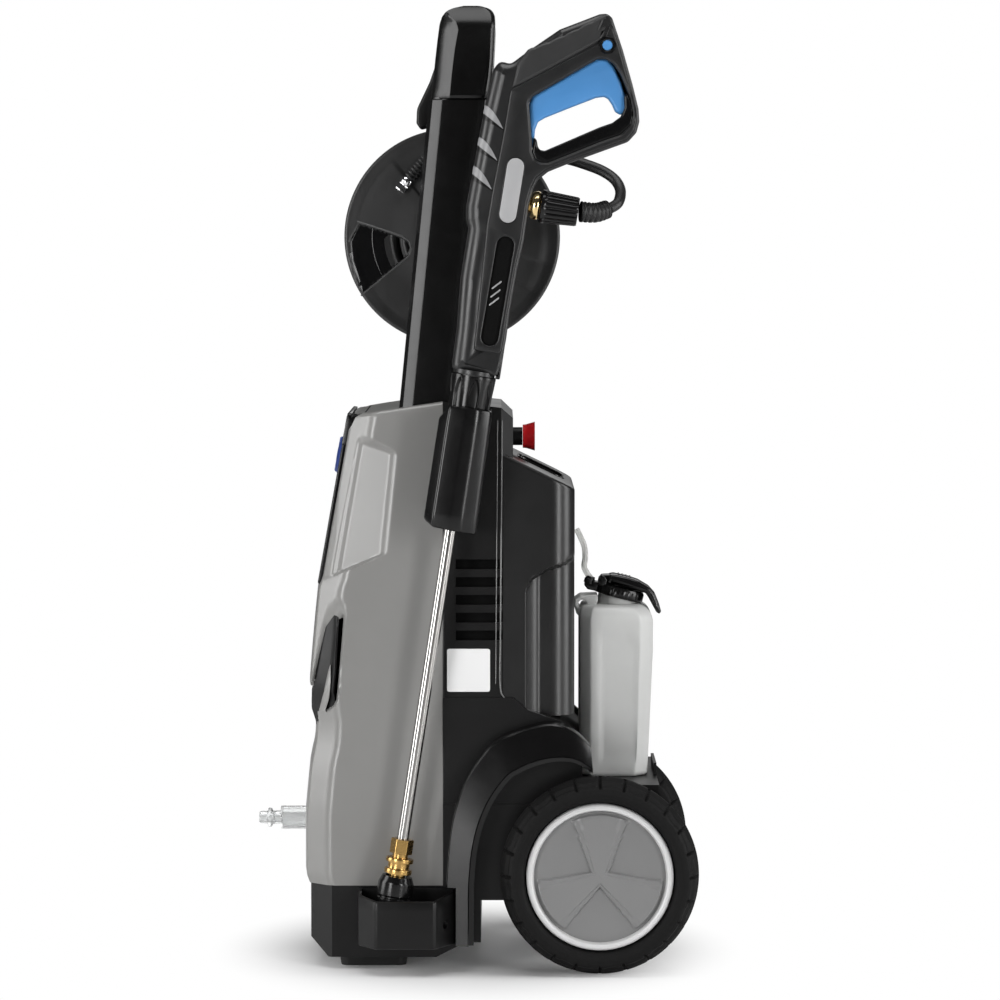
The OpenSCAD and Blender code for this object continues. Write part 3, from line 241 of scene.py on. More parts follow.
M = {
    "black": moulded("black_plastic", (0.0045, 0.0044, 0.0045), (0.30, 0.38), specular=0.24),
    "satin": moulded("satin_black_plastic", (0.0034, 0.0033, 0.0034), (0.17, 0.23), 0.04, 0.34),
    "gloss": moulded("gloss_black_plastic", (0.0028, 0.0028, 0.003), (0.16, 0.24), 0.03, 0.3),
    # painted_shade: a near-black that stands in for the shade in recesses and behind openings
    "painted_shade": moulded("shadow_plastic", (0.0012, 0.0012, 0.0012), (0.6, 0.7), 0.02, 0.1),
    "bin": moulded("bin_plastic", (0.0040, 0.0039, 0.0040), (0.29, 0.34), 0.04),
    "reel": moulded("reel_plastic", (0.0085, 0.0084, 0.0085), (0.36, 0.44), 0.08),
    # seam: a light grey on thin beads in place of the highlight on lit edges
    "seam": moulded("seam_plastic", (0.05, 0.05, 0.05), (0.24, 0.34), 0.03),
    "rim": moulded("hub_plastic", (0.17, 0.17, 0.17), (0.3, 0.4), 0.04, drift=0.03),
    # the hub's grey made lighter for the ring, as a painted highlight
    "ring": moulded("hub_ring_painted_highlight", (0.56, 0.56, 0.56), (0.26, 0.36), 0.03, drift=0.03),
    "column": moulded("column_plastic", (0.0030, 0.0030, 0.0030), (0.2, 0.27), 0.03, 0.34),
    "gun": moulded("gun_plastic", (0.0085, 0.0085, 0.0088), (0.30, 0.37), 0.05, 0.45),
    "soft": moulded("soft_grip", (0.0085, 0.0085, 0.0088), (0.44, 0.56), 0.14),
    "capsule": moulded("capsule_plate", (0.32, 0.32, 0.325), (0.35, 0.45), 0.04, drift=0.04),
    "grey": moulded("grey_plastic", (0.196, 0.194, 0.188), (0.283, 0.289), 0.04, 0.6, 0.03),
    "blue": moulded("blue_plastic", (0.062, 0.225, 0.50), (0.3, 0.4), 0.04, drift=0.07),
    # painted_shade_blue: the blue plastic darkened as painted shade for the dial
    "painted_shade_blue": moulded("dial_painted_shade_blue", (0.016, 0.036, 0.17), (0.3, 0.4), 0.04, drift=0.07),
    "red": moulded("red_plastic", (0.60, 0.012, 0.016), (0.22, 0.32), 0.03, drift=0.08),
    "label": moulded("bare_plate", (0.70, 0.70, 0.70), (0.3, 0.4), 0.02, drift=0.02),
    # inlay: the light grey of the panel's mark, and a painted highlight on the gun's slashes
    "inlay": moulded("light_mark_and_painted_highlight", (0.22, 0.22, 0.225), (0.35, 0.45), 0.04, drift=0.05),
    "rubber": rubbery("black_rubber", (0.006, 0.006, 0.006), (0.42, 0.56), 0.2),
    "hose": rubbery("hose_rubber", (0.0060, 0.0058, 0.0058), (0.36, 0.48), 0.1, 420),
    "tyre": rubbery("tyre_rubber", (0.0028, 0.0027, 0.0027), (0.6, 0.76), 0.3, 520, 0.17),
    "steel": metal("polished_steel", (0.36, 0.352, 0.34), (0.17, 0.21), (60, 60, 0.2)),
    "polished_brass": metal("polished_brass", (0.86, 0.66, 0.34), (0.10, 0.16)),
    "chrome": metal("chrome", (0.75, 0.75, 0.77), (0.05, 0.11)),
    "brass": metal("brass", (0.46, 0.29, 0.10), (0.18, 0.32), (4, 4, 60), 0.02),
    "alloy": metal("cast_aluminium", (0.52, 0.53, 0.55), (0.4, 0.6), bump=0.2),
    "bottle": translucent("white_bottle", (0.62, 0.625, 0.615), 0.35, (0.35, 0.5)),
    "clear": translucent("clear_plastic", (0.92, 0.93, 0.93), 0.85, (0.05, 0.12)),
    "tube": translucent("clear_tube", (0.80, 0.80, 0.78), 0.6, (0.12, 0.22)),
}

# ---- shape helpers


def fillet(points, radius=3.0, steps=4):
    """Rounds a closed outline's corners; radius is one number or one per point."""
    out, count = [], len(points)
    for i, p in enumerate(points):
        p = Vector(p)
        a, b = Vector(points[i - 1]) - p, Vector(points[(i + 1) % count]) - p
        r = radius[i] if isinstance(radius, (list, tuple)) else radius
        la, lb, trim = a.length, b.length, 0
        if r > 0 and la > 1e-6 and lb > 1e-6:
            a, b = a / la, b / lb
            half = math.acos(max(-1.0, min(1.0, a.dot(b)))) / 2
            trim = min(r / max(math.tan(half), 0.05), 0.46 * la, 0.46 * lb)
        if trim < 0.05:
            out.append(p)
            continue
        for t in [k / steps for k in range(steps + 1)]:
            out.append((1 - t) ** 2 * (p + a * trim) + 2 * t * (1 - t) * p + t * t * (p + b * trim))
    return out


def area2(loop):
    return sum(loop[i - 1][0] * loop[i][1] - loop[i][0] * loop[i - 1][1] for i in range(len(loop)))


def ccw(loop):
    return loop if area2(loop) > 0 else list(reversed(loop))


def inset(loop, d):
    """Moves a loop by d to its left side."""
    out, count = [], len(loop)
    for i in range(count):
        p, a, b = Vector(loop[i]), Vector(loop[i - 1]), Vector(loop[(i + 1) % count])
        e1, e2 = p - a, b - p
        if e1.length < 1e-7 or e2.length < 1e-7:
            out.append(p)
            continue
        n1, n2 = (Vector((-e.y, e.x)).normalized() for e in (e1, e2))
        n = n1 + n2
        n = n.normalized() if n.length > 1e-6 else n1
        out.append(p + n * d / max(n.dot(n1), 0.5))
    return out


def rounded_plate(name, outline, t0, t1, edge=2.0, holes=(), material=None, matrix=None, steps=4, angle=35,
                  place=lambda u, v, t: (u, t, v), edge1=None, rim=None):
    """A flat outline with holes, thick from t0 to t1; its rims are rounded by edge, and by edge1 at t1.

    rim(point) gives each point of the outline its own radius at t0 and leaves t1 square.
    """
    loops = [list(loop) for loop in (outline, *holes)]
    for i, loop in enumerate(loops):
        if (area2(loop) > 0) != (i == 0):
            loop.reverse()
    inner = [inset(loop, 1.0) for loop in loops]
    near, far = ([[e] * len(loop) for loop in loops] for e in (edge, edge if edge1 is None else edge1))
    arc = [QUARTER * k / steps for k in range(steps + 1)]
    levels = [(t1, -1, a, far) for a in reversed(arc)]
    if rim:
        radii = [rim(p) for p in loops[0]]
        for _ in range(2):
            radii = [(radii[k - 1] + 2 * e + radii[(k + 1) % len(radii)]) / 4 for k, e in enumerate(radii)]
        near[0] = radii
        levels = [(t1, 0, QUARTER, near)]
    rings = [[[(Vector(p) + (m - Vector(p)) * (e * (1 - math.sin(a))), t + side * e * (1 - math.cos(a)))
               for p, m, e in zip(loop, moved, radii)] for loop, moved, radii in zip(loops, inner, edges)]
             for t, side, a, edges in [(t0, 1, a, near) for a in arc] + levels]
    verts = [Vector(place(p.x, p.y, t)) for ring in rings for loop in ring for p, t in loop]
    size, faces = sum(len(loop) for loop in loops), []
    for i in range(len(rings) - 1):
        base = i * size
        for n in [len(loop) for loop in loops]:
            faces += [(base + k, base + (k + 1) % n, base + size + (k + 1) % n, base + size + k) for k in range(n)]
            base += n
    for i in (0, len(rings) - 1):
        flat = [[p.to_3d() for p, _ in loop] for loop in rings[i]]
        faces += [tuple(i * size + j for j in tri) for tri in tessellate_polygon(flat)]
    return new_object(name, [matrix @ v for v in verts] if matrix else verts, faces, material, angle)


def prism(outline, t0, t1, matrix=None):
    """A cutter with square rims; t0 and t1 come in either order."""
    return rounded_plate("cutter", outline, *sorted((t0, t1)), 0.01, steps=1, matrix=matrix)


def lathe(name, profile, matrix=Matrix(), material=None, sides=64, wave=None, angle=35, closed=False):
    """Revolves (radius, height) points about Z; wave(angle, height) scales the radius."""
    rows = []
    for r, h in profile:
        scales = [wave(FULL * k / sides, h) if wave else 1 for k in range(sides)]
        rows.append([matrix @ Vector((r * w * c, r * w * s, h)) for w, (c, s) in zip(scales, circle(sides))])
    obj = skin(name, rows, material, angle, ring=closed, ends=[r > 1e-6 for r in (profile[0][0], profile[-1][0])])
    if min(r for r, _ in profile) < 1e-6:
        tidy_faces(obj.data, 1e-6, True)
    return obj


def turned(x, y, z, direction):
    """Matrix that puts +Z along direction, at a point in millimetres."""
    return Matrix.Translation((x, y, z)) @ Vector(direction).to_track_quat("Z", "Y").to_matrix().to_4x4()


def block(name, x0, x1, y0, y1, z0, z1, material=None, edge=1.0, matrix=None):
    """A box with rounded edges."""
    r = min(edge, 0.49 * (x1 - x0), 0.49 * (z1 - z0), 0.49 * (y1 - y0))
    outline = fillet([(x0, z0), (x1, z0), (x1, z1), (x0, z1)], r, 3)
    return rounded_plate(name, outline, y0, y1, r, material=material, matrix=matrix, steps=3)


def remove(objs):
    for o in objs:
        mesh = o.data
        bpy.data.objects.remove(o)
        bpy.data.meshes.remove(mesh)


def with_modifier(obj, kind, **values):
    """Adds a modifier and freezes it into the mesh."""
    m = obj.modifiers.new("form", kind)
    for key, value in values.items():
        setattr(m, key, value)
    dg = bpy.context.evaluated_depsgraph_get()
    dg.update()
    old = obj.data
    mesh = bpy.data.meshes.new_from_object(obj.evaluated_get(dg), depsgraph=dg)
    obj.modifiers.clear()
    obj.data = mesh
    bpy.data.meshes.remove(old)
    return obj


def walled(obj, thickness, offset=-1):
    return with_modifier(obj, "SOLIDIFY", thickness=thickness * MM, offset=offset)


def cut(obj, *cutters, angle=None, operation="DIFFERENCE"):
    """Boolean with cutters, which are then deleted."""
    group = bpy.data.collections.new("cutters")
    for c in cutters:
        group.objects.link(c)
    with_modifier(obj, "BOOLEAN", operation=operation, solver="EXACT", operand_type="COLLECTION", collection=group)
    remove(cutters)
    bpy.data.collections.remove(group)
    return smooth(obj, angle) if angle else obj


def join(name, objs):
    """One mesh object from several, keeping each one's material."""
    bm = bmesh.new()
    mats = []
    for o in objs:
        mats += [m for m in o.data.materials if m not in mats]
        start = len(bm.faces)
        bm.from_mesh(o.data)
        bm.faces.ensure_lookup_table()
        for f in bm.faces[start:]:
            f.material_index = mats.index(o.data.materials[f.material_index])
    mesh = bpy.data.meshes.new(name)
    bm.to_mesh(mesh)
    bm.free()
    for m in mats:
        mesh.materials.append(m)
    obj = add_object(name, mesh)
    remove(objs)
    return obj


def mirrored(obj, name, plane=0.0):
    """A copy mirrored to the other side of a plane at y."""
    mesh = obj.data.copy()
    for v in mesh.vertices:
        v.co.y = 2 * plane * MM - v.co.y
    mesh.flip_normals()
    return add_object(name, mesh)


def paint(obj, material, chosen):
    """A second material on the chosen faces."""
    obj.data.materials.append(M[material])
    for f in obj.data.polygons:
        if chosen(f):
            f.material_index = 1
    return obj


def put(obj, body="chassis"):
    """Hangs a finished piece on its body's empty; one named NODE_skin stands for that CAD node, which it hides."""
    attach(obj, body)
    if "_skin" in obj.name:
        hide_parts(obj.name.split("_skin")[0])
    return obj


def polygon_distance(x, z, poly):
    """Signed distance to a polygon: positive inside."""
    best, inside = 1e9, False
    for i, (bx, bz) in enumerate(poly):
        ax, az = poly[i - 1]
        dx, dz = bx - ax, bz - az
        t = max(0.0, min(1.0, ((x - ax) * dx + (z - az) * dz) / (dx * dx + dz * dz)))
        best = min(best, math.hypot(x - ax - t * dx, z - az - t * dz))
        if (az > z) != (bz > z) and x < (bx - ax) * (z - az) / (bz - az) + ax:
            inside = not inside
    return best if inside else -best


def step(value, low, high):
    t = max(0.0, min(1.0, (value - low) / (high - low)))
    return t * t * (3 - 2 * t)


def line_at(table, z):
    """Straight interpolation in a table of (z, value)."""
    for (z0, x0), (z1, x1) in zip(table, table[1:]):
        if z <= z1:
            return x0 + (x1 - x0) * (z - z0) / (z1 - z0)
    return table[-1][1]


def bend(d, r):
    """Zero before a corner, rising by one after it, rounded over r on both sides."""
    return 0.0 if d < -r else d if d > r else (d + r) ** 2 / (4 * r)


# ---- CAD nodes that stay

FINISH = {
    "black": "base rear_housing switch_box metering_valve fan",
    "satin": "spray_nozzle reel_drum crank_arm crank_knob",
    "rubber": "feet",
    "steel": "axle pistons outlet_pipe rotor wobble_plate reel_axle",
    "brass": "pump_head gun_valve coupler_body coupler_sleeve",
    "alloy": "pump_body motor_housing capacitor",
    "red": "metering_knob",
    "clear": "inlet_housing inlet_plug",
}
for key, names in FINISH.items():
    for name in names.split():
        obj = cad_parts[name]
        obj.data.materials.clear()
        obj.data.materials.append(M[key])
        if name == "pistons":
            continue
        obj.modifiers.new("weld", "WELD").merge_threshold = 0.00002
        radii = obj.modifiers.new("radii", "BEVEL")
        radii.width, radii.segments = 0.8 * MM, 2
        radii.limit_method, radii.angle_limit = "ANGLE", math.radians(32)
        radii.harden_normals, radii.use_clamp_overlap = False, True
        obj.modifiers.new("normals", "WEIGHTED_NORMAL").keep_sharp = True

# ---- cords: name, material, slot, bodies, diameter, path steps, sides, stiffness, lay, route

CORDS = [
    ("pressure_hose", "hose", "hose_rubber", ("gun", "chassis"), 11, 6, 20, "stiff", "loose", [
        (134, -140, 769), (143, -132, 775), (146, -113, 787), (141, -100, 798), (129, -90, 807), (112, -80, 814),
        (92, -66, 820), (70, -48, 822), (45, -37, 818), (20, -30, 810), (-2, -27, 804), (-24, -26, 801)]),
    ("detergent_tube", "tube", "clear_tube", ("chassis", "bottle"), 6, 5, 16, "medium", "hanging", [
        (104, -6, 439), (108, -6, 431), (112, -6, 421), (113, -6, 410), (112, -6, 400), (115, -6, 393),
        (118.5, -6, 388.5)]),
]
for name, material, slot, bodies, diameter, steps, sides, stiffness, lay, route in CORDS:
    path = catmull(route, steps)
    cord = tube(name + "_skin", path, diameter / 2, sides, material)
    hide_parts(name)
    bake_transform(cord)

# ---- front cover: tables of (z, x) for its front, and of (x, z) for the form pressed into its side

SEAM_X, SIDES = -33, (("left", -1), ("right", 1))
FRONT_LINE = [(85, -172), (92, -176), (156, -176), (207, -171), (229, -166), (250, -165), (262, -167), (276, -169),
              (284, -172), (321, -169), (356, -165.8), (387, -162.6), (396, -158.8), (561, -129.4), (600, -122)]
WALL_LINE = [(402, -95.3), (421, -93.4), (524, -83), (545, -80)]
RIDGE_LINE = [(396, -136.5), (407, -134.6), (531, -113), (545, -110.5)]
FACET_FOOT = [(-170, 392), (-147, 397), (-137, 402), (-93.4, 421), (-80, 427)]
FACET_HEAD = [(-170, 530), (-131, 531), (-117, 532), (-83, 521.5), (-78, 520)]
HEAD_BAND = [(-170, 12), (-131, 12), (-113, 11.5), (-84, 5.5), (-78, 5)]
SCOOP = [(-129.5, 372.5), (-136, 376.5), (-141.5, 378.5), (-152.5, 369), (-157, 346), (-160, 332), (-167, 292),
         (-180, 290), (-180, 262), (-158, 259.5), (-149, 261.5), (-139, 272), (-135.5, 312), (-131.5, 356)]
WINDOW = [(-133.4, 357.5), (-140, 353.5), (-149.5, 345), (-152.5, 333.5), (-163.5, 290), (-185, 288), (-185, 270),
          (-166.5, 268.5), (-158.8, 262.3), (-151.5, 262.6), (-144, 267), (-140.8, 273), (-137, 312)]
CORNER_CUT = [(-165, 541), (-132, 541), (-125.5, 550), (-121.5, 558.5), (-113, 563.4), (-112, 590), (-165, 590)]
PANEL_SLOT = [(-20, -128), (12, -128), (12, 48), (-20, 48)]
VENT_SLOT = [(-190, 249), (-156, 249), (-156, 285), (-190, 285)]
CROWN = [(-132.4, 550), (-131.2, 554.5), (-128.8, 557.2), (-111.4, 563.6), (-102.5, 561.6), (-101.5, 560.4)]
CHEEK = [(-136.2, 530), (-132.4, 549), (-130.8, 555), (-128.4, 557.4), (-111, 563.2), (-104, 561.2), (-112, 548),
         (-122, 530)]
FIN = [(-146.6, 310.5), (-149.3, 302), (-154.2, 279), (-158.9, 262), (-160, 252), (-150.5, 252), (-152, 262.3),
       (-148.2, 275), (-146.4, 291)]
PANEL = Matrix.Translation((-139.6, 0, 516)) @ Matrix.Rotation(math.radians(10.1), 4, "Y")
COLUMN_TILT = math.tan(math.radians(5.6))
CREASE, BOW, ROUND, TOP_Z = 22, 3.9, 6, 556


def side_at(z):
    return 125 - 6 * (z - 85) / 490


def front_at(z):
    return sum(line_at(FRONT_LINE, max(85, z + d)) for d in (-4, -2, 0, 2, 4)) / 5


def crease_at(z):
    """Where the chamfer between the cover's side and its front starts."""
    return front_at(z) + BOW + CREASE


def column_x(z):
    return -47 + (z - 573) * COLUMN_TILT


def side_depth(x, z):
    """How far the cover's side lies in: front chamfer, the pressed-in panel and the scoop over the vent."""
    depth = bend(crease_at(z) - x, ROUND)
    wall, ridge = line_at(WALL_LINE, z), line_at(RIDGE_LINE, z)
    sunk = (2.4 * step(wall - x, -5.5, 4) + 0.20 * max(0.0, wall - x) + 1.5 * step(ridge - x, 0.5, 5.5)
            + bend(ridge - 10 - x, 2))
    if sunk > 0.01:
        share = step(z - line_at(FACET_FOOT, x), -0.8, 1.0)
        share *= 1 - step(z - line_at(FACET_HEAD, x), 0, line_at(HEAD_BAND, x))
        depth += max(0.0, sunk - depth) * share
    if 255 < z < 382 and x < -125:
        out = polygon_distance(x, z, SCOOP)
        if out > 0:
            near = max(0.0, -polygon_distance(x, z, WINDOW))
            depth += 8.5 * step(out / (out + near), 0, 1.15)
    return depth


def cover_row(z, up, shrink):
    """One level of the cover from seam to seam; up and shrink round it over into the top."""
    w, xc = side_at(z) - shrink, front_at(z) + BOW + shrink
    crease = xc + CREASE + ROUND
    xs = [SEAM_X + (crease - SEAM_X) * i / 60 for i in range(61)]
    xs += [crease + (xc + 1.2 - crease) * i / 24 for i in range(1, 25)]
    row = []
    for x in xs:
        height = z + up + (13 * (x - xc) / (SEAM_X - xc) * step(z, 500, TOP_Z) if z > 500 else 0)
        row.append((x, -w + (side_depth(x, height) if z < TOP_Z else bend(crease - ROUND - x, ROUND)), height))
    x, y, _ = row[-1]
    row.append((x - 0.9, y + 1.3, z + up))
    row += [(xc - BOW * (k / 8) * (2 - k / 8), (y + 3.2) * (1 - k / 8), z + up) for k in range(9)]
    return row + [(x, -y, height) for x, y, height in reversed(row[:-1])]


def cover_shell():
    zs = [85, 86, 88, 92, 97, 102, 112, 125, 140, 156, 170, 190, 205, 215, 225, 232, 240, 246, 250]
    zs += [252 + 2 * i for i in range(72)] + [396 + 1.5 * i for i in range(102)] + [549, 552, 555]
    rows = [cover_row(z, 0, 0) for z in zs]
    rows += [cover_row(TOP_Z, 6 * math.sin(QUARTER * k / 5), 6 * (1 - math.cos(QUARTER * k / 5)))
             for k in range(1, 6)]
    edge, half, columns = rows[-1], len(rows[-1]) // 2, 9
    lid = [[Vector(edge[k]).lerp(Vector(edge[-1 - k]), c / columns) for c in range(columns + 1)] for k in range(half)]
    lid.append([edge[half]] * (columns + 1))
    verts = [v for row in rows for v in row]
    obj = new_object("front_cover_skin", verts + [v for row in lid for v in row],
                     quads(rows, False) + quads(lid, False, start=len(verts)), "grey", 28)
    tidy_faces(obj.data, 1e-5)
    if max(obj.data.polygons, key=lambda f: f.center.z).normal.z < 0:
        obj.data.flip_normals()
    return walled(obj, 3)


column_side = [(column_x(z) + dx, z) for z, dx in ((440, -30.3), (440, 30.3), (640, 30.3), (640, -30.3))]
cutters = [prism(fillet(PANEL_SLOT, 0.5, 1), -86, 86, PANEL), prism(fillet(VENT_SLOT, 1, 2), -103, 103),
           lathe("cutter", [(12.3, -20), (12.3, 40)], turned(-185, 0, 138, (1, 0, 0)), sides=48)]
for _, s in SIDES:
    cutters += [prism(fillet(WINDOW, 2), s * 90, s * 140), prism(column_side, s * 69.7, s * 105.3),
                prism(fillet(CORNER_CUT, 2), s * 86, s * 140)]
put(cut(cover_shell(), *cutters, angle=28), "chassis")

# black crown and cheeks that close the panel's top corners
crown = skin("panel_crown", [[(x, y, z - (1.6 if abs(y) > 92 else 0)) for y in (-92.2, -91, -60, 0, 60, 91, 92.2)]
                             for x, z in CROWN], "gloss", 40, wrap=False)
put(walled(crown, 2))
for side, s in SIDES:
    put(rounded_plate("panel_cheek_" + side, fillet(CHEEK, 1.5, 2), *sorted((s * 88, s * 92.4)), 0.8, steps=2,
                      material="gloss"))

# ---- vent liner and the fins in the corner windows


def liner_row(z):
    w, crease = side_at(z), crease_at(z)
    sill = [(246, -164.5), (250, -165), (262, -169), (276, -168.6), (290, -165)]
    x0 = line_at(sill, z) if z < 290 else front_at(z) + 6
    turn = line_at([(260, -146), (300, -142), (356, -139)], z)

    def wall(x):
        return -w + 6.5 + bend(crease - x, 4)

    row = [(-118.5, -w + 31), (turn + 1.5, -w + 30), (turn + 0.6, -w + 24), (turn, wall(turn) + 1)]
    start = x0 + BOW * 0.8
    row += [(x, wall(x)) for x in (turn - 1, crease, crease - 4, start + 3, start)]
    row += [(x0 + BOW * 0.8 * (1 - k / 4) ** 2, (wall(start) + 4) * (1 - k / 4)) for k in range(5)]
    return [(x, y, z) for x, y in row] + [(x, -y, z) for x, y in reversed(row[:-1])]


liner_rows = [liner_row(z) for z in [246, 250, 254, 258, 262, 268, 276, 282, 290, *range(298, 364, 8)]]
columns = len(liner_rows[0]) - 1
liner = skin("intake_grille_skin", liner_rows, "black", wrap=False)
# the liner's deep side parts take the near-black as painted shade
paint(liner, "painted_shade", lambda f: not 3 <= f.index % columns <= columns - 4)
slots = [block("cutter", -190, -140, -70, 70, 254.5 + 7 * i, 257.5 + 7 * i, edge=0.3) for i in range(3)]
put(cut(walled(liner, 2, 0), *slots, angle=30))
for side, s in SIDES:
    def on_side(u, v, t):
        return u, s * (side_at(v) - bend(crease_at(v) - u, 1) - 0.4 - 3.0 * step(v, 262, 300) - t), v

    put(rounded_plate("vent_fin_" + side, fillet(FIN, [0.6, 8, 20, 2, 1, 1, 3, 8, 12], 4), 0, 2.4, 0.7, steps=2,
                      material="grey", place=on_side), "chassis")

# ---- gun: outlines in its own frame, (u, w) with w along the lance, t to its right

GUN_Y = -151
GUN = Matrix.Translation((-1.2, GUN_Y, 603.5)) @ Matrix.Rotation(math.radians(8.73), 4, "Y")
PORT, PIVOT = turned(40, 0, 176, (1, 0, 0)), (81.3, 0, 343.4)
GUN_BODY = [
    (-23.3, 1), (-24.1, 42), (-28, 93), (-27.6, 143), (-31.4, 152), (-33.2, 164), (-31.5, 214), (-30, 262),
    (-27, 303), (-21.7, 312.5), (-10.4, 311), (3.3, 325), (32.4, 352), (69.3, 373), (76.2, 374.5), (82, 371),
    (86, 363), (97, 341.7), (112, 309), (121.6, 286), (124.4, 273.7), (123.2, 262.4), (116.6, 252.4), (90.6, 238.3),
    (62.7, 223), (42.4, 211), (33.7, 201.5), (30.3, 190.8), (28.6, 175.5), (28.7, 155.3), (29, 140.3), (26.7, 109.7),
    (25.8, 69), (26.4, 39), (25.9, 28.8), (23.3, 1)]
GUN_WINDOW = [
    (22, 238), (23.6, 228), (27.7, 220.7), (34.1, 218.6), (41, 219.7), (89.1, 248.2), (107.7, 258), (116.1, 269.4),
    (117.4, 279.7), (112.2, 293.9), (98.5, 316.9), (90, 326), (81.6, 329.4), (73.6, 328.2), (16.3, 282.2),
    (13.2, 275.7)]
PLATE = [
    (-3.6, 24.6), (-6.6, 90), (-9.7, 150), (-9.2, 185), (-7.0, 240), (-6.5, 285), (2.0, 291.5), (77, 346.5),
    (80.5, 364), (84, 360.5), (95, 338.7), (109.5, 307), (118.5, 284.5), (121.2, 273.7), (120, 264), (114.6, 255.2),
    (89.4, 241.2), (61.4, 226), (40, 213.4), (30.8, 203.2), (27.2, 191.5), (25.6, 175.5), (25.7, 155.3),
    (26.0, 140.3), (23.8, 109.7), (23, 69), (23.4, 39), (22.9, 25.2)]
GRIP = [(-6.5, 286.5), (3.4, 291.6), (76.8, 347.6), (78.8, 366)]
TRIGGER_ROOM = [(-30, 262), (20, 262), (76, 327), (90, 343), (74, 352), (58, 347), (22, 322), (-12, 294)]
GUARD_LINER = [
    (23.6, 227), (27.7, 219.7), (34.1, 217.6), (41, 218.7), (89.1, 247.2), (107.7, 257), (117.1, 268.4),
    (118.4, 279.7), (113.6, 292.0), (108, 301), (105.4, 296), (107.5, 285), (105.5, 276), (98, 268.5), (86.5, 262.5),
    (36, 231), (31, 231), (28.5, 234), (26.5, 240), (23, 243)]
TRIGGER = [
    (25, 225.5), (23.2, 250.1), (25, 258.4), (31.2, 263.4), (54.3, 277), (78.4, 290.8), (86.1, 293), (90.4, 291.6),
    (95.3, 286.3), (99.3, 279.9), (104.7, 277.7), (109.5, 280.2), (110.8, 284), (109, 292), (101, 309), (91, 324),
    (83, 330), (73, 329), (16, 283), (13.5, 275), (17, 252)]
GUARD_EDGE = [
    (110, 259), (118, 267.5), (119.5, 281), (114, 296), (100, 319.5), (91, 329), (82, 332), (73, 331), (73, 325.6),
    (81, 326.2), (87.5, 323.4), (95.5, 314.6), (109.4, 292.6), (114.4, 279.8), (113.4, 271.2), (106.5, 261.6)]
HALF_GUN, BARREL_R = 15.6, 13.0
SLOT_FROM, SLOT_TO = (9.9, 39.5), (11.4, 132.5)
CAPSULE_FROM, CAPSULE_TO = (9.2, 163), (9.6, 211)


def gun_point(u, w, t):
    return GUN @ Vector((u, t, w))


def gun_edge(p):
    """Rounding of the gun's rim: full on the barrel, small round the guard."""
    if p.x < -12:
        return BARREL_R
    if p.x < 12 and p.y > 300:
        return 9
    return 8 if p.x < 78 and p.y > max(320, 321 + 0.72 * p.x) else 2.8


def stadium(c0, c1, r, n=10):
    """An outline with round ends between two centres."""
    a, b = Vector(c0), Vector(c1)
    base = math.atan2(b.y - a.y, b.x - a.x)
    return [centre + r * Vector((math.cos(base + t), math.sin(base + t)))
            for centre, lag in ((b, -0.5), (a, 0.5)) for t in [math.pi * (k / n + lag) for k in range(n + 1)]]


def gun_plate(name, outline, t0, t1, edge, material, steps=2, slot="black_plastic", **more):
    return put(rounded_plate(name, outline, t0, t1, edge, material=material, matrix=GUN, steps=steps, **more),
               "gun")


slot_rim = stadium(SLOT_FROM, SLOT_TO, 8.6)
window = fillet(GUN_WINDOW, 6, 3)
shell = rounded_plate("gun_shell_left_skin", fillet(GUN_BODY, 7, 3), -HALF_GUN, -0.12, 2.6, [window], "gun", GUN, 5, 32,
                      rim=gun_edge)
cut(shell, prism(slot_rim, -30, -12.2, GUN))
plate = rounded_plate("plate", fillet(PLATE, 4, 3), -17.0, -14.8, 1.1,
                      [inset(list(reversed(ccw(window))), 1.6), slot_rim], "gun", GUN, 3, edge1=0.1)
left = join("gun_shell_left_skin", [shell, plate])
put(left, "gun")
put(mirrored(left, "gun_shell_right_skin", GUN_Y), "gun")


def barrel_skin(u_off, w, lift):
    """A point on the rounded barrel, u_off behind its front edge, raised by lift."""
    a = math.asin(max(-1.0, min(1.0, 1 - u_off / BARREL_R))) if u_off < BARREL_R else 0.0
    front = line_at([(w1, u1) for u1, w1 in GUN_BODY[:9]], w)
    return gun_point(front + u_off - math.sin(a) * lift, w,
                     -HALF_GUN + BARREL_R * (1 - math.cos(a)) - math.cos(a) * lift)


def barrel_patch(name, upper, lower, lift, material, reach=22.0, start=0.2, n=26):
    """A thin tapering plate bent over the barrel between two curves w(s)."""
    layers = [[[barrel_skin(start + (reach - start) * s, lower(s) + (upper(s) - lower(s)) * k / 3, layer)
                for k in range(4)] for s in [i / n for i in range(n + 1)]] for layer in (lift, -0.6)]
    back = 4 * (n + 1)
    faces = quads(layers[0], False) + quads(layers[1], False, start=back)
    border = [4 * i for i in range(n + 1)] + [4 * n + 1, 4 * n + 2, 4 * n + 3]
    border += [4 * i + 3 for i in range(n - 1, -1, -1)] + [2, 1]
    faces += [(p, q, q + back, p + back) for p, q in zip(border, border[1:] + border[:1])]
    put(new_object(name, [v for layer in layers for row in layer for v in row], faces, material, 40), "gun")


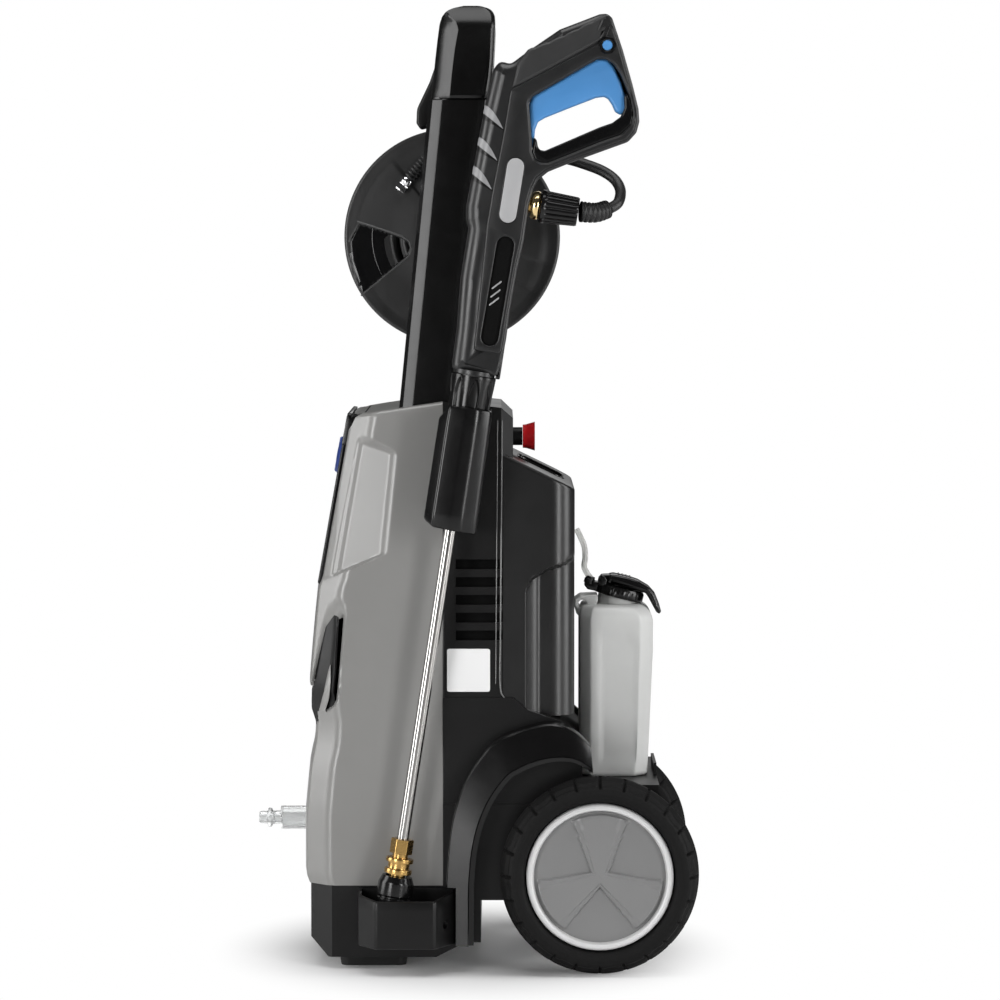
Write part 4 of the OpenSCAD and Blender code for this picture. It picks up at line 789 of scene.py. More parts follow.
for number, (base, mark_w) in enumerate(((258, 92.5), (226, 84), (197, 76)), 1):
    # each slash: a light grey strip as a painted highlight
    barrel_patch("gun_slash_%d" % number, lambda s: base + 8.5 - 3 * s - 17.3 * s ** 1.7,
                 lambda s: base + 0.5 - 12.6 * s, 0.35, "inlay")
    # and a black strip below it as painted shade in place of a groove
    barrel_patch("gun_slash_groove_%d" % number, lambda s: base - 0.2 - 12.6 * s,
                 lambda s: base - 5.2 - 8.6 * s, 0.12, "black", 23.5)
    mark = [(3.9, mark_w - 4.6), (5.1, mark_w - 5.6), (13.4, mark_w + 3.0), (12.8, mark_w + 4.6)]
    gun_plate("gun_slot_mark_%d" % number, fillet(mark, 0.7, 2), -13.4, -11.9, 0.3, "capsule", slot="grey_plastic")
gun_plate("gun_capsule_rim", stadium(CAPSULE_FROM, CAPSULE_TO, 9.6), -17.35, -16.5, 0.3, "black")
gun_plate("gun_capsule", stadium(CAPSULE_FROM, CAPSULE_TO, 8.5), -17.9, -16.6, 0.8, "capsule", 3, "grey_plastic",
          edge1=0.1)
# the slot floor is near-black as painted shade
gun_plate("gun_slot_floor", inset(slot_rim, 0.1), -12.7, -12.0, 0.1, "painted_shade", 1)
put(lathe("gun_collar", [(9, 4), (20.8, 4), (20.8, -0.1), (9, -0.1)], GUN, "gun", 72, closed=True), "gun")

back = []
for s in [i / 60 for i in range(61)]:
    swell = 0.9 * abs(math.sin(math.pi * 5.5 * s)) ** 0.7 * step(s, 0.0, 0.06) * step(1 - s, 0.0, 0.06)
    back.append(Vector((76 - 72 * s - 0.5 * swell, 373.6 - 46.4 * s - 9.5 * s * (1 - s) * (0.2 + s) + 0.86 * swell)))
grip_line = fillet(GRIP, [0, 3, 3, 3], 3) + back + [Vector((-4.5, 312.5))]
for side, t0, t1, edge, edge1 in (("left", -17.1, -0.15, 4.2, 0.1), ("right", 0.15, 17.1, 0.1, 4.2)):
    pad = rounded_plate("gun_grip_pad_" + side, grip_line, t0, t1, edge, edge1=edge1, matrix=GUN, material="soft",
                        angle=30)
    put(cut(pad, prism(TRIGGER_ROOM, -8.9, 8.9, GUN), angle=30), "gun")
gun_plate("gun_guard_liner", fillet(GUARD_LINER, 4, 3), -13.5, 13.5, 2.2, "gloss", 3)
gun_plate("guard_edge", fillet(GUARD_EDGE, 2, 3), 9.0, 12.6, 0.8, "black")

trigger = rounded_plate("trigger_skin", fillet(TRIGGER, 4, 3), -8.2, 8.2, 3.2, material="blue", matrix=GUN)
pin = lathe("pin", [(0, -18.8), (4.2, -18.8), (5.0, -18.0), (5.0, 18.0), (4.2, 18.8), (0, 18.8)],
            GUN @ turned(*PIVOT, (0, 1, 0)), "blue", 32)
put(join("trigger_skin", [trigger, pin]), "trigger")
for side, s in SIDES:
    put(lathe("pivot_ring_" + side, [(5.4, 16.4), (5.4, 18.3), (6.4, 18.9), (8.0, 18.7), (8.8, 17.6), (8.8, 16.4)],
              GUN @ turned(*PIVOT, (0, s, 0)), "gloss", 40, closed=True), "gun")


def nut_wave(a, h):
    tooth = abs(math.sin(7 * a)) ** 0.55
    return 1 - 0.10 * (1 - tooth) * step(h, 3.5, 5.5) * (1 - step(h, 36.0, 37.6))


nut_rows = [(8.2, 0.0), (15.4, 0.0), (16.9, 1.2), (17.0, 3.2), (16.6, 4.4)]
nut_rows += [(16.6 - 0.055 * h, h) for h in (6, 12, 18, 24, 30, 34, 36.2)]
nut_rows += [(13.8, 38.0), (9.2, 38.0), (9.2, 30), (8.2, 30)]
put(lathe("hose_nut_skin", nut_rows, GUN @ PORT, "satin", 168, nut_wave, closed=True), "gun")
port_rows = [(8.4, -9.5), (12.2, -9.2), (13.6, -8.0), (14.4, -5.6), (14.6, -3.4), (14.0, -1.6), (12.6, -0.4),
             (8.4, -0.3)]
put(lathe("gun_port_ring", port_rows, GUN @ PORT, "polished_brass", 72, closed=True), "gun")
put(tube("lance_tube_skin", [gun_point(0, w, 0) for w in (-480.8, -300, -200, -100, -30.2)], 6.0, 64, "steel"),
    "gun")
put(tube("hose_sleeve_skin", catmull([(105, -151, 766), (120, -148, 765), (132, -141, 768.5)], 40),
         lambda s, a: (10.6 - 1.3 * s) * (0.90 + 0.11 * abs(math.sin(math.pi * (8 * s + a / FULL))) ** 0.6), 28,
         "rubber", 30), "gun")


def flute(a, h):
    """Pointed-arch flutes round the lance socket."""
    if not -44.5 < h < -2:
        return 1
    pitch = FULL / 8
    off = abs((a / pitch + 0.31) % 1 - 0.5) * pitch
    half = 0.29 * math.sqrt(max(0.0, min(1.0, (-h - 4) / 16)))
    return 1 - 0.13 * step(half - off, 0.0, 0.07) * step(h + 46, 0, 2)


socket_rows = [(10.2, -0.3), (21.4, -0.3), (22.4, -1.2), (22.4, -2.6)]
socket_rows += [(22.4 - 0.055 * h, -3 - h) for h in range(42)]
socket_rows += [(19.8, -46), (19, -50), (16, -62), (11, -96), (7.2, -96)]
put(lathe("lance_socket_skin", socket_rows, GUN, "satin", 240, flute, 30), "gun")
put(block("lance_latch", 21.5, 26.2, -8, 8, -1, 34, "satin", 1.6, GUN), "gun")

# ---- wheels

WHEEL_X, WHEEL_Z, TREAD_Y, HUB_Y, DISC_R = 125, 100.5, 155, 170.0, 66.2
TYRE = [
    (76, 134), (74.5, 140), (74.2, 150), (74.2, 160), (74.5, 170), (76, 176), (79, 179.6), (84, 180.6), (89, 179.8),
    (91.5, 177.5), (92.5, 174.5), (96, 170.5), (98.6, 165), (99.6, 160), (100, 155), (99.6, 150), (98.6, 145),
    (96, 139.5), (92.5, 135.5), (91.5, 132.5), (89, 130.2), (84, 129.4), (79, 130.4)]
HUB_RING = [(66.8, 173.0), (67.2, 175.4), (68.0, 176.8), (69.2, 177.2), (71.6, 176.8), (73.0, 175.6), (73.8, 173.6),
            (74.0, 170), (74.0, 136), (70, 134.5), (60, 137), (30, 139), (14, 139)]


def tyre_point(r, y, share, number):
    """The tyre's (radius, y) with smooth sidewalls, stepped shoulder lugs and centre blocks cut in."""
    shift = (share + (0.0 if y >= TREAD_Y and r > 91.2 else 0.5)) % 1
    gap, off = min(shift, 1 - shift), abs(y - TREAD_Y)
    if r > 91.2:
        shoulder = off > 11
        cuts = (3.2 if shoulder else 2.0) * (1 - step(gap, 0.045, 0.085)) + (2.4 if abs(off - 9) < 3.0 else 0)
        if shoulder and number % 2 == 0 and 0.3 < share < 0.7 and r < 97:
            cuts += 0.9
        return r - cuts, y
    if r > 86:
        y += (-0.72 if y > TREAD_Y else 0.72) * (1 - step(gap, 0.05, 0.1))
    return r, y


def tyre_skin():
    lugs, fine = 24, 12
    rows = []
    for r0, y0 in fillet(TYRE, 1.5, 2):
        row = []
        for k, (c, s) in enumerate(circle(lugs * fine)):
            r, y = tyre_point(r0, y0, (k / fine) % 1, k // fine)
            row.append((WHEEL_X + r * c, -y, WHEEL_Z + r * s))
        rows.append(row)
    return skin("tyre_left_skin", rows, "tyre", ring=True)


def rim_height(x, z):
    """Relief of the hub cap: a sunk disc with a three-fold pattern of raised blades."""
    r, third = math.hypot(x, z), FULL / 3
    off = abs(((math.atan2(z, x) - QUARTER) / third + 0.5) % 1 - 0.5) * third
    along, across = r * math.cos(off), r * math.sin(off)
    edge, notch = 7 + 0.36 * along, 0.42 * max(0.0, 52 - along)
    relief = 3.4 + 1.3 * step(edge - 7 - across + notch * 0.2, -0.5, 0.5) - 0.022 * across
    return relief * step(edge - across, -0.6, 0.6) * step(64.2 - r, 0.0, 2.2)


def rim_skin():
    """Hub cap with a raised ring round a faceted disc; the ring's lighter grey is a painted highlight."""
    turn = circle(180)
    rows = [[(WHEEL_X, -(HUB_Y + rim_height(0, 0)), WHEEL_Z)] * len(turn)]
    for r in [0.5] + [1.2 * i for i in range(1, 53)] + [63.0, 63.8, 64.6, 65.4, DISC_R]:
        dish = 1.2 * (1 - r / 66) if r < 66 else 0
        rows.append([(WHEEL_X + r * c, -(HUB_Y + rim_height(r * c, r * s) + dish), WHEEL_Z + r * s) for c, s in turn])
    rows += [[(WHEEL_X + r * c, -y, WHEEL_Z + r * s) for c, s in turn] for r, y in HUB_RING]
    obj = skin("rim_left_skin", rows, "rim", 22, ends=(False, True))
    tidy_faces(obj.data, 1e-6)
    return paint(obj, "ring", lambda f: math.hypot(f.center.x / MM - WHEEL_X, f.center.z / MM - WHEEL_Z) > DISC_R)


for part, obj, slot in (("tyre", tyre_skin(), "tyre"), ("rim", rim_skin(), "grey_plastic")):
    put(obj, "wheel_left")
    put(mirrored(obj, part + "_right_skin"), "wheel_right")

# ---- control panel and dial

PANEL_TURNED = PANEL @ Matrix.Rotation(QUARTER, 4, "Z")
DIAL_R = 21.2
panel_plate = fillet([(-92, -129), (92, -129), (92, 48), (-92, 48)], 5, 4)
panel = rounded_plate("control_panel_skin", panel_plate, 1.4, 6.0, 1.6, material="gloss", matrix=PANEL_TURNED,
                      steps=3, edge1=0.3, place=lambda u, v, t: (u, -t, v))
axis = PANEL @ turned(0, 0, 0, (1, 0, 0))
put(cut(panel, lathe("cutter", [(29.2, -3), (29.2, 2.2)], axis, sides=96),
        lathe("cutter", [(6.1, -8), (6.1, 12)], axis, sides=32), angle=30))

DIAL = [(0, 4.2), (6, 4.0), (11, 3.5), (15, 2.7), (18.5, 1.5), (20.6, 0.2), (21.3, -0.6), (21.8, -0.9), (26.6, -0.9),
        (27.4, -1.2), (27.5, -1.5), (6.0, -1.5), (6.0, -26), (0, -26)]
# the dial and its ridge use the blue darkened as painted shade
dial = lathe("power_dial_skin", DIAL, PANEL @ turned(-0.3, 0, 0, (-1, 0, 0)), "painted_shade_blue", 96)
paint(dial, "gloss", lambda f: min((dial.data.vertices[v].co / MM - PANEL.translation).length
                                   for v in f.vertices) > DIAL_R)
ridge = fillet([(-3.6, -18.5), (3.6, -18.5), (2.8, 18.5), (-2.8, 18.5)], 2.6, 3)
ridge = rounded_plate("dial_ridge", ridge, 0.2, 4.2, 0.1, material="painted_shade_blue", matrix=PANEL_TURNED, edge1=2.2)
put(join("power_dial_skin", [dial, ridge]), "power_dial")
put(rounded_plate("panel_mark", stadium((0, 33), (0, 39), 1.2), 0.9, 1.4, 0.15, material="inlay", matrix=PANEL_TURNED,
                  steps=1), "chassis")

# ---- columns and handle

COLUMN = [(-30, -70), (-30, -88), (-26.2, -96), (-16.4, -105), (26.5, -105), (30, -101), (30, -70)]
COLUMN_LEVELS = [(478, 0.8), (479, 0), (600, 0), (700, 0), (800, 0), (878.6, 0), (879.6, 1.2)]
COLUMN_BORE = [(-26, -73), (-26, -91.7), (-19.7, -98), (26, -98), (26, -73)]
LEG = [(-25.6, -73.4), (-25.6, -91.5), (-19.5, -97.6), (25.6, -97.6), (25.6, -73.4)]
CAP_LEFT = [(880.3, -45.6), (897, -42.8), (918, -40.9), (938, -38.6), (956, -36.2), (963, -33.6), (968, -29),
            (971, -23), (973.4, -12)]
CAP_RIGHT = [(880.3, 13.2), (897, 16.5), (918, 18.6), (941, 19.8), (956, 20.3), (963, 19.8), (968, 17.6), (971, 14.0),
             (973.4, 6)]
FACET_EDGE = [(880.3, -26.5), (903, -24.4), (928, -21.4), (942, -18.9), (949, -17.5), (957, -20), (963, -26),
              (968, -29), (974, -20)]
CAP_LEVELS = [880.3, 881.2, 883, 890, 900, 910, 920, 930, 938, 944, 948, 951, 954, 957, 960, 962.5, 965, 967, 968.8,
              970.3, 971.6, 972.7, 973.4]


def leaning(name, plan, levels, material=None, angle=30):
    """A bar that leans with the columns; levels are (z, shrink)."""
    rows = [[(column_x(z) + p.x, p.y, z) for p in inset(ccw(plan), d)] for z, d in levels]
    return skin(name, rows, material, angle)


column = leaning("column_left_skin", fillet(COLUMN, [2, 1.4, 1.2, 1.2, 1.4, 1.4, 2], 3), COLUMN_LEVELS, "column", 22)
put(cut(column, leaning("cutter", COLUMN_BORE, [(470, 0), (900, 0)]), angle=25))
put(mirrored(column, "column_right_skin"))


def cap_ring(z):
    """Plan of the handle's end cap: a tall cheek with a front facet, narrow dark edges and a domed top."""
    lo, hi = line_at(CAP_LEFT, z), line_at(CAP_RIGHT, z)
    width = max(line_at(FACET_EDGE, z), lo + 1) - lo
    lead, deep = min(3.6, 0.25 * width), min(15.0, 0.9 * width)
    base = -108 + 1.4 * (1 - step(z, 880.3, 883)) + 15 * step(z, 946, 978) ** 1.35
    plan = [(lo + dx, base + dy) for dx, dy in [
        (0, deep + 9 * min(1, width / 12)), (0.35 * lead, deep + 4), (lead, deep),
        (lead + 0.33 * (width - lead), deep * 0.67), (lead + 0.66 * (width - lead), deep * 0.345),
        (width - 0.7, deep * 0.06 + 0.35), (width + 0.5, 0.0)]]
    plan += [(lo + width + 0.5 + (hi - 4.6 - lo - width - 0.5) * k / 8, base) for k in range(1, 9)]
    plan += [(hi - 4.0, base + 0.2), (hi - 1.6, base + 2.4), (hi - 0.5, base + 4.0), (hi, base + 7.0), (hi, -68),
             (hi - 1, -67), (lo + 1, -67), (lo, -68)]
    return [(x, y, z) for x, y in plan]


def bar_radius(share, angle):
    """Oval grip with shallow finger swells."""
    return 15.6 + 0.7 * math.cos(FULL * 5 * share) + 1.6 * math.cos(2 * angle)


cap = skin("handle_cap_left", [cap_ring(z) for z in CAP_LEVELS], "column", 24)
leg = leaning("handle_leg_left", fillet(LEG, 1.5, 2), [(768, 0), (820, 0), (885, 0)], "column")
bar = tube("handle_bar", [(-10.3, -68 + 136 * i / 60, 954) for i in range(61)], bar_radius, 40, "soft", 40)
put(join("handle_grip_skin", [cap, mirrored(cap, "handle_cap_right"), leg, mirrored(leg, "handle_leg_right"), bar]),
    "handle")
LEVER = [(-38, 926), (-30, 926), (-34, 896), (-50.5, 853), (-57, 851.2), (-61, 857), (-60.4, 872), (-47.5, 899)]
lever_plate = fillet(LEVER, [3, 3, 14, 3, 4, 5, 18, 26], 5)
put(rounded_plate("release_lever_skin", lever_plate, -24, 24, 2.4, material="black"), "release_lever")

# ---- storage bin

BIN_TOP = [(27, 523), (100, 487.5), (104, 486)]
BIN_SEAM = [(27, 262), (50.2, 262), (50.8, 384), (57, 397), (72, 406), (90, 412), (102, 420)]
BIN_X0, BIN_X1, BIN_R, BIN_FOOT = 27.8, 100.6, 24, 256
MOUTH = fillet([(44, -36), (90, -36), (90, 36), (44, 36)], 10, 6)


def bin_depth(x, z):
    """The cable-wrap inset in the bin's lower side: a crisp upper edge and a rounded front flank."""
    flank = 0.14 * step(x, 50.6, 51.6) + 0.86 * math.sin(QUARTER * max(0.0, min(1.0, (x - 51.6) / 15)))
    return 15.5 * flank * step(line_at(BIN_SEAM, x) - z, 0, 3.2)


def bin_row(plan, share, down, shrink):
    row = []
    for x, y in plan:
        x -= shrink * max(0.0, (x - 60) / 40)
        z = BIN_FOOT + (line_at(BIN_TOP, x) - BIN_FOOT) * share + down
        row.append((x, y + shrink + 1.2 - side_at(z) + bin_depth(x, z), z))
    x, y, z = row[-1]
    row += [(x, y * (1 - k / 6), z) for k in range(1, 7)]
    return row + [(x, -y, z) for x, y, z in reversed(row[:-1])]


def bin_skin():
    plan, x = [], BIN_X0
    while x < BIN_X1 - BIN_R:
        plan.append((x, 0.0))
        x += 0.8 if 48 < x < 54 else 1.3
    for a in [QUARTER * k / 14 for k in range(15)]:
        plan.append((BIN_X1 - BIN_R * (1 - math.sin(a)), BIN_R * (1 - math.cos(a))))
    shares = [0, 0.004, 0.01] + [0.02 + 0.01 * i for i in range(40)] + [0.425 + 0.005 * i for i in range(50)]
    shares += [0.68 + 0.015 * i for i in range(20)] + [0.97, 0.98]
    rows = [bin_row(plan, share, 0.0, 0.0) for share in shares]
    rows += [bin_row(plan, 1.0, -3.2 * (1 - math.sin(a)), 3.2 * (1 - math.cos(a)))
             for a in [QUARTER * k / 5 for k in range(6)]]
    n = len(rows[0])
    top, half = (len(rows) - 1) * n, (n - 1) // 2
    lid = [(top + k, top + k + 1, top + n - 2 - k, top + n - 1 - k) for k in range(half - 1)]
    lid.append((top + half - 1, top + half, top + half + 1))
    return walled(skin("storage_bin_skin", rows, "bin", 34, wrap=False, extra=lid), 2.6)


put(cut(bin_skin(), skin("cutter", [[(p.x, p.y, z) for p in MOUTH] for z in (470, 540)]), angle=34))
pocket_line = inset(MOUTH, -0.6)
pocket = skin("bin_pocket", [[(p.x, p.y, 300) for p in pocket_line],
                             [(p.x, p.y, line_at(BIN_TOP, p.x) - 2.2) for p in pocket_line]], "black",
              ends=(False, False))
put(walled(pocket, 1.6, 1))
mouth_rim = [(p.x, p.y, line_at(BIN_TOP, p.x) + 0.4) for p in MOUTH]
put(tube("bin_mouth_rim", mouth_rim + mouth_rim[:2], 1.1, 8, "satin"))

# ---- holster and lance foot


def holster_ring(w, grow, rise):
    """Faceted outer plan of the holster at a height along the lance."""
    u0, u1, t0, t1 = -28.0 + grow, 24.6 - 0.02 * (w + 33) - grow, -29.0 + grow, 22.0
    plan = [(u0, t1), (u0, -14), (u0 + 9, t0 + 2.0), (-2, t0), (10, t0 + 1.5), (u1 - 1, -18), (u1, t1)]
    return [gun_point(p.x, w + rise(p.x), p.y) for p in fillet(plan, [0.5, 4, 4, 18, 16, 9, 0.5], 4)]


def holster_crown(u):
    return -13.0 * step(-17 - u, 0, 11)


def holster_foot(u):
    return 4.6 * step(-20 - u, -2, 8) - 0.05 * (u - 20)


rings = [holster_ring(w, grow, holster_foot) for w, grow in ((-157.4, 2.2), (-156.4, 0.7), (-154.6, 0))]
rings += [holster_ring(w, 0, lambda u: 0.0) for w in (-140, -120, -100, -80, -60, -50)]
rings += [holster_ring(w, grow, holster_crown) for w, grow in ((-36.2, 0), (-34, 0.6), (-33, 2.0))]
put(cut(skin("holster_skin", rings, "satin", 26), block("cutter", -150, 150, -119.6, -60, 380, 640, edge=0.02),
        lathe("cutter", [(24.4, -20), (24.4, -152)], GUN, sides=72),
        lathe("cutter", [(20.5, -20), (20.5, -190)], GUN, sides=72), angle=26))

BACK_Y = -125.3
FOOT = ccw(fillet([(-118, BACK_Y), (-118, -153), (-100.5, -178), (-40, -178), (-20, -141), (-20, BACK_Y)],
                  [0.5, 5, 6, 6, 5, 0.5], 4))


def foot_ring(z, grow, rim=False):
    """Plan of the cup; z counts from the rim, which falls towards the outside, when rim is set."""
    return [(p.x, min(p.y, BACK_Y), z + (83.2 - 0.14 * (BACK_Y - p.y) if rim else 0)) for p in inset(FOOT, grow)]


FOOT_LEVELS = [(28, 1.6), (28.6, 0.5), (30, 0), (50, 0), (66, 0), (-1.6, 0, True), (-0.5, 0.5, True), (0, 1.6, True)]
foot = skin("lance_foot_skin", [foot_ring(*level) for level in FOOT_LEVELS], "black", 26)
well = [[(x, max(y, -174.5), z) for x, y, z in foot_ring(level, 3.2)] for level in (65.6, 100)]
put(cut(foot, skin("cutter", well), skin("cutter", [foot_ring(10, 3.2), foot_ring(62, 3.2)]),
        lathe("cutter", [(4.2, -2), (4.2, 9)], turned(-29.5, -160.5, 50, (-0.85, 0.5, 0)), sides=32), angle=26))

# ---- wheel arches

ARCH = [(-30, 27), (-30, 90), (-27, 130), (-22, 161), (-10, 195), (8.6, 223), (21, 235), (36, 242.5), (56, 249),
        (76, 252.6), (98, 246), (116, 229.5)]
ARCH_IN = [(-8, 27), (-7.5, 90), (-4.6, 122), (2, 151), (14, 178), (30, 199.5), (41, 207), (55, 213.5), (74, 218.5),
           (92, 219), (105, 215.5), (118, 207.5)]
ARCH_BULGE = [(0, 0.0), (0.03, 18.5), (0.08, 20.6), (0.93, 25.6), (1, 26.0)]
ARCH_LIP = [(1.2, -150.6), (1.2, -146.0), (6.2, -145.2), (6.2, -143.8), (6.2, -125.5)]


def arch_line(line):
    return [Vector((line[0][0], 0, line[0][1]))] + catmull([(x, 0, z) for x, z in line[1:]], 4)


def arch_skin():
    """Mudguard: a satin band that leans in to a dark lip round the tyre."""
    rows = []
    for a, b in zip(arch_line(ARCH), arch_line(ARCH_IN)):
        band = [(a.lerp(b, s), -125.5 - line_at(ARCH_BULGE, s))
                for s in (0, 0.03, 0.08, 0.2, 0.4, 0.6, 0.8, 0.93, 1.0)]
        band += [(b + (b - a).normalized() * d, y) for d, y in ARCH_LIP]
        rows.append([(p.x, y, p.z) for p, y in band])
    return skin("arch_left_skin", rows, "satin")


arch = cut(arch_skin(), block("cutter", -130, -19.7, -190, -124, 10, 86, edge=0.02), angle=30)
put(arch)
put(mirrored(arch, "arch_right_skin"))

# ---- hose reel

REEL_X, REEL_Z = -24, 741
POCKET = [(-95, 15), (-51.2, 0.8), (-43.5, -4.5), (-41.6, -12), (-44.1, -19.6), (-92.1, -59.3), (-104, -24),
          (-105, -4)]
LIP = [(-97, 15.6), (-51.2, 0.8), (-43.5, -4.5), (-41.6, -12), (-44.1, -19.6), (-93, -60)]
REEL_WINDOW = [(-65, 2.5), (-53, -1.2), (-45, -6), (-43.5, -12), (-46, -18.6), (-58, -28.6)]
WINDOW_R = 69.5
FLOOR_DEPTH, FACE_Y = -3.5, 55.2
FOLDS = [(-15.5, 0.9), (-34, 1.1), (-72, 0.8), (62, 0.9), (128, 0.7)]


def flange_relief(x, z, pocket):
    """Height of the flange's outer face: fan-like folds, and on the left the stepped pocket with its lip."""
    r, a = math.hypot(x, z), math.degrees(math.atan2(z, x))
    h = -1.5 * step(r, 30, 70) * (1 - step(r, 96, 109))
    for angle, rise in FOLDS:
        off = (a - angle + 180) % 360 - 180
        h += rise * step(off, -1.3, 1.3) * (1 - step(off, 8, 55)) * step(r, 24, 45) * (1 - step(r, 88, 106))
    if pocket:
        h -= step(polygon_distance(x, z, POCKET), 0.0, 2.0) * (1.3 + 1.1 * (1 - step(r, 80.5, 82.5)))
    return max(h, FLOOR_DEPTH)


def flange_skin(side, sign, pocket):
    rows, turn = [], circle(420)
    for r in [11.2, 12, 14, 17, 20, 22] + [22 + 1.1 * i for i in range(1, 75)] + [105.5, 107, 108.4, 109.4, 110]:
        edge = 2.0 * (1 - math.sqrt(max(0.0, 1 - ((r - 107) / 3) ** 2))) if r > 107 else 0.0
        base = FACE_Y + 9.0 * (1 - step(r, 14, 21)) - edge
        rows.append([(REEL_X + r * c, sign * (base + flange_relief(r * c, r * s, pocket)), REEL_Z + r * s)
                     for c, s in turn])
    for r, y in ((110, 52), (109.4, 51), (11.2, 51)):
        rows.append([(REEL_X + r * c, sign * y, REEL_Z + r * s) for c, s in turn])
    obj = skin("reel_flange_%s_skin" % side, rows, "reel", 28, ring=True)
    # faces inside the pocket get the darker gloss black as painted shade
    return paint(obj, "gloss", lambda f: pocket and polygon_distance(
        f.center.x / MM - REEL_X, f.center.z / MM - REEL_Z, POCKET) > 1.2)


arc = [math.radians(v) for v in (26, 20, 14, 8, 2)]
opening = REEL_WINDOW + [(-WINDOW_R * math.cos(t), -WINDOW_R * math.sin(t)) for t in arc]
opening = fillet([(REEL_X + x, REEL_Z + z) for x, z in opening], 1.5, 2)
put(cut(flange_skin("left", -1, True), prism(opening, -66, -40), angle=28), "reel")
put(flange_skin("right", 1, False), "reel")
# the pocket lip is a thin bead in light grey as a painted highlight
lip_path = []
for (x0, z0), (x1, z1) in zip(LIP, LIP[1:]):
    lip_path += [(x0 + (x1 - x0) * k / 6, z0 + (z1 - z0) * k / 6) for k in range(6)]
put(tube("reel_pocket_lip", [(REEL_X + x, -(FACE_Y - 0.3 + flange_relief(x, z, False)), REEL_Z + z)
                             for x, z in lip_path + LIP[-1:]], 0.95, 10, "seam"), "reel")

coil_path = []
for layer, (y0, y1) in enumerate([(-45.2, 45.2), (45.2, -45.2), (-13, 45.2)]):
    radius, count = 37.8 + 11.0 * layer, int(abs(y1 - y0) / 11.1 * 44)
    for i in range(count + 1):
        a = FULL * i / 44 + layer * 0.6
        coil_path.append((REEL_X + radius * math.cos(a), y0 + (y1 - y0) * i / count, REEL_Z + radius * math.sin(a)))
put(tube("hose_coil_skin", coil_path, 5.4, 14, "hose"), "reel")

FITTING = turned(-77, -60.3, 789, (math.sin(math.radians(40)), 0, math.cos(math.radians(40))))
BALL_R, BALL_Z = 6.0, 10.2
ball_turn = [math.radians(v) for v in range(30, 151, 15)]
ball_rows = [(BALL_R * math.sin(t), BALL_Z - BALL_R * math.cos(t)) for t in ball_turn]
guard_rows = [(3.6, 14.6)]
for i in range(8):
    r, top = 6.6 - 0.12 * i, 15 + 3.9 * i
    guard_rows += [(r - 1.9, top), (r - 0.3, top + 0.5), (r, top + 1.3), (r - 0.3, top + 2.1), (r - 1.9, top + 2.6)]
put(join("reel_fitting_skin", [
    lathe("fit_base", [(0, -1), (5.0, -1), (5.6, -0.2), (5.6, 5.6), (5.0, 6.4), (0, 6.4)], FITTING, "chrome", 6,
          angle=20),
    lathe("fit_ball", [(0, 5), *ball_rows, (0, 16)], FITTING, "chrome", 32),
    lathe("fit_guard", guard_rows + [(3.4, 47)], FITTING, "rubber", 28)]), "reel")

# ---- detergent bottle

TOP = 362
CAP = Matrix.Translation((148, 0, TOP + 9)) @ Matrix.Rotation(math.radians(14), 4, "Y")
PANEL_EDGE = [(126, TOP - 160), (166.5, TOP - 160), (167.5, TOP - 40), (158, TOP - 27), (126, TOP - 27)]
BOTTLE_FOOT = TOP - 174.7
BOTTLE_LEVELS = [0, 0.6, 1.6, 3, 5] + list(range(8, 160, 6)) + [158, 161, 164, 166.5, 169, 171, 172.6, 173.8, 174.6]


def bottle_ring(z, wall):
    """Plan of the bottle at a height, inset by wall: chamfered corners, a shallow panel on each side."""
    drop = 1 - math.sqrt(max(0.0, 1 - min(1.0, max(0.0, (z - (TOP - 17)) / 17)) ** 2))
    rise = z - (TOP - 175)
    base = max(0.0, 1 - rise / 4) ** 2 * 3
    x0, w = 106.8 + 5.0 * drop + base, 55 - 11 * drop - base
    x1 = 176.6 + 5.6 * min(1.0, rise / 130) - 15 * drop - base
    plan = [(x0, -w + 12), (x0 + 11, -w), (x1 - 13, -w), (x1, -w + 14), (x1, w - 14), (x1 - 13, w), (x0 + 11, w),
            (x0, w - 12)]
    corner = fillet(plan, [4, 3, 4, 6, 6, 4, 3, 4], 4)
    line = []
    for p, q in zip(corner, corner[1:] + corner[:1]):
        n = 16 if abs(p.y - q.y) < 0.01 and abs(p.x - q.x) > 20 else 1
        line += [p.lerp(q, k / n) for k in range(n)]
    for p in line:
        if abs(p.y) > w - 0.5:
            p.y -= math.copysign(1.5 * step(polygon_distance(p.x, z, PANEL_EDGE), 0, 3.5), p.y)
    return [(p.x, p.y, z) for p in (inset(ccw(line), wall) if wall else line)]


def bottle_form(levels, wall):
    return skin("bottle_skin", [bottle_ring(BOTTLE_FOOT + v, wall) for v in levels], "bottle", 40)


def bottle_neck(r, top):
    return lathe("neck", [(r, -14), (r, top)], CAP, "bottle")


lip_hole = [(110 + 4.2 * c, TOP + 0.5 + 4.2 * s) for c, s in circle(20)]
lip_line = [(118, -20), (111, -18), (103.5, -9), (101.2, -1), (102, 5), (108, 9), (126, 10), (126, 4)]
lip_line = fillet([(x, TOP + z) for x, z in lip_line], 3, 4)
lip = rounded_plate("lip", lip_line, -22, 22, 1.8, [lip_hole], "bottle", steps=3)
shell = bottle_form(BOTTLE_LEVELS, 0)
cut(shell, bottle_neck(20.8, 3.6), lip, operation="UNION")
inner_levels = sorted({min(max(v, 2.2), 172.2) for v in BOTTLE_LEVELS})
put(cut(shell, bottle_form(inner_levels, 2.2), bottle_neck(18.6, 12), angle=40), "bottle")


def knurl(a, h):
    return 1 - 0.028 * (0.5 - 0.5 * math.cos(44 * a)) * step(h, -2.2, -1.2) * (1 - step(h, 4.6, 5.6))


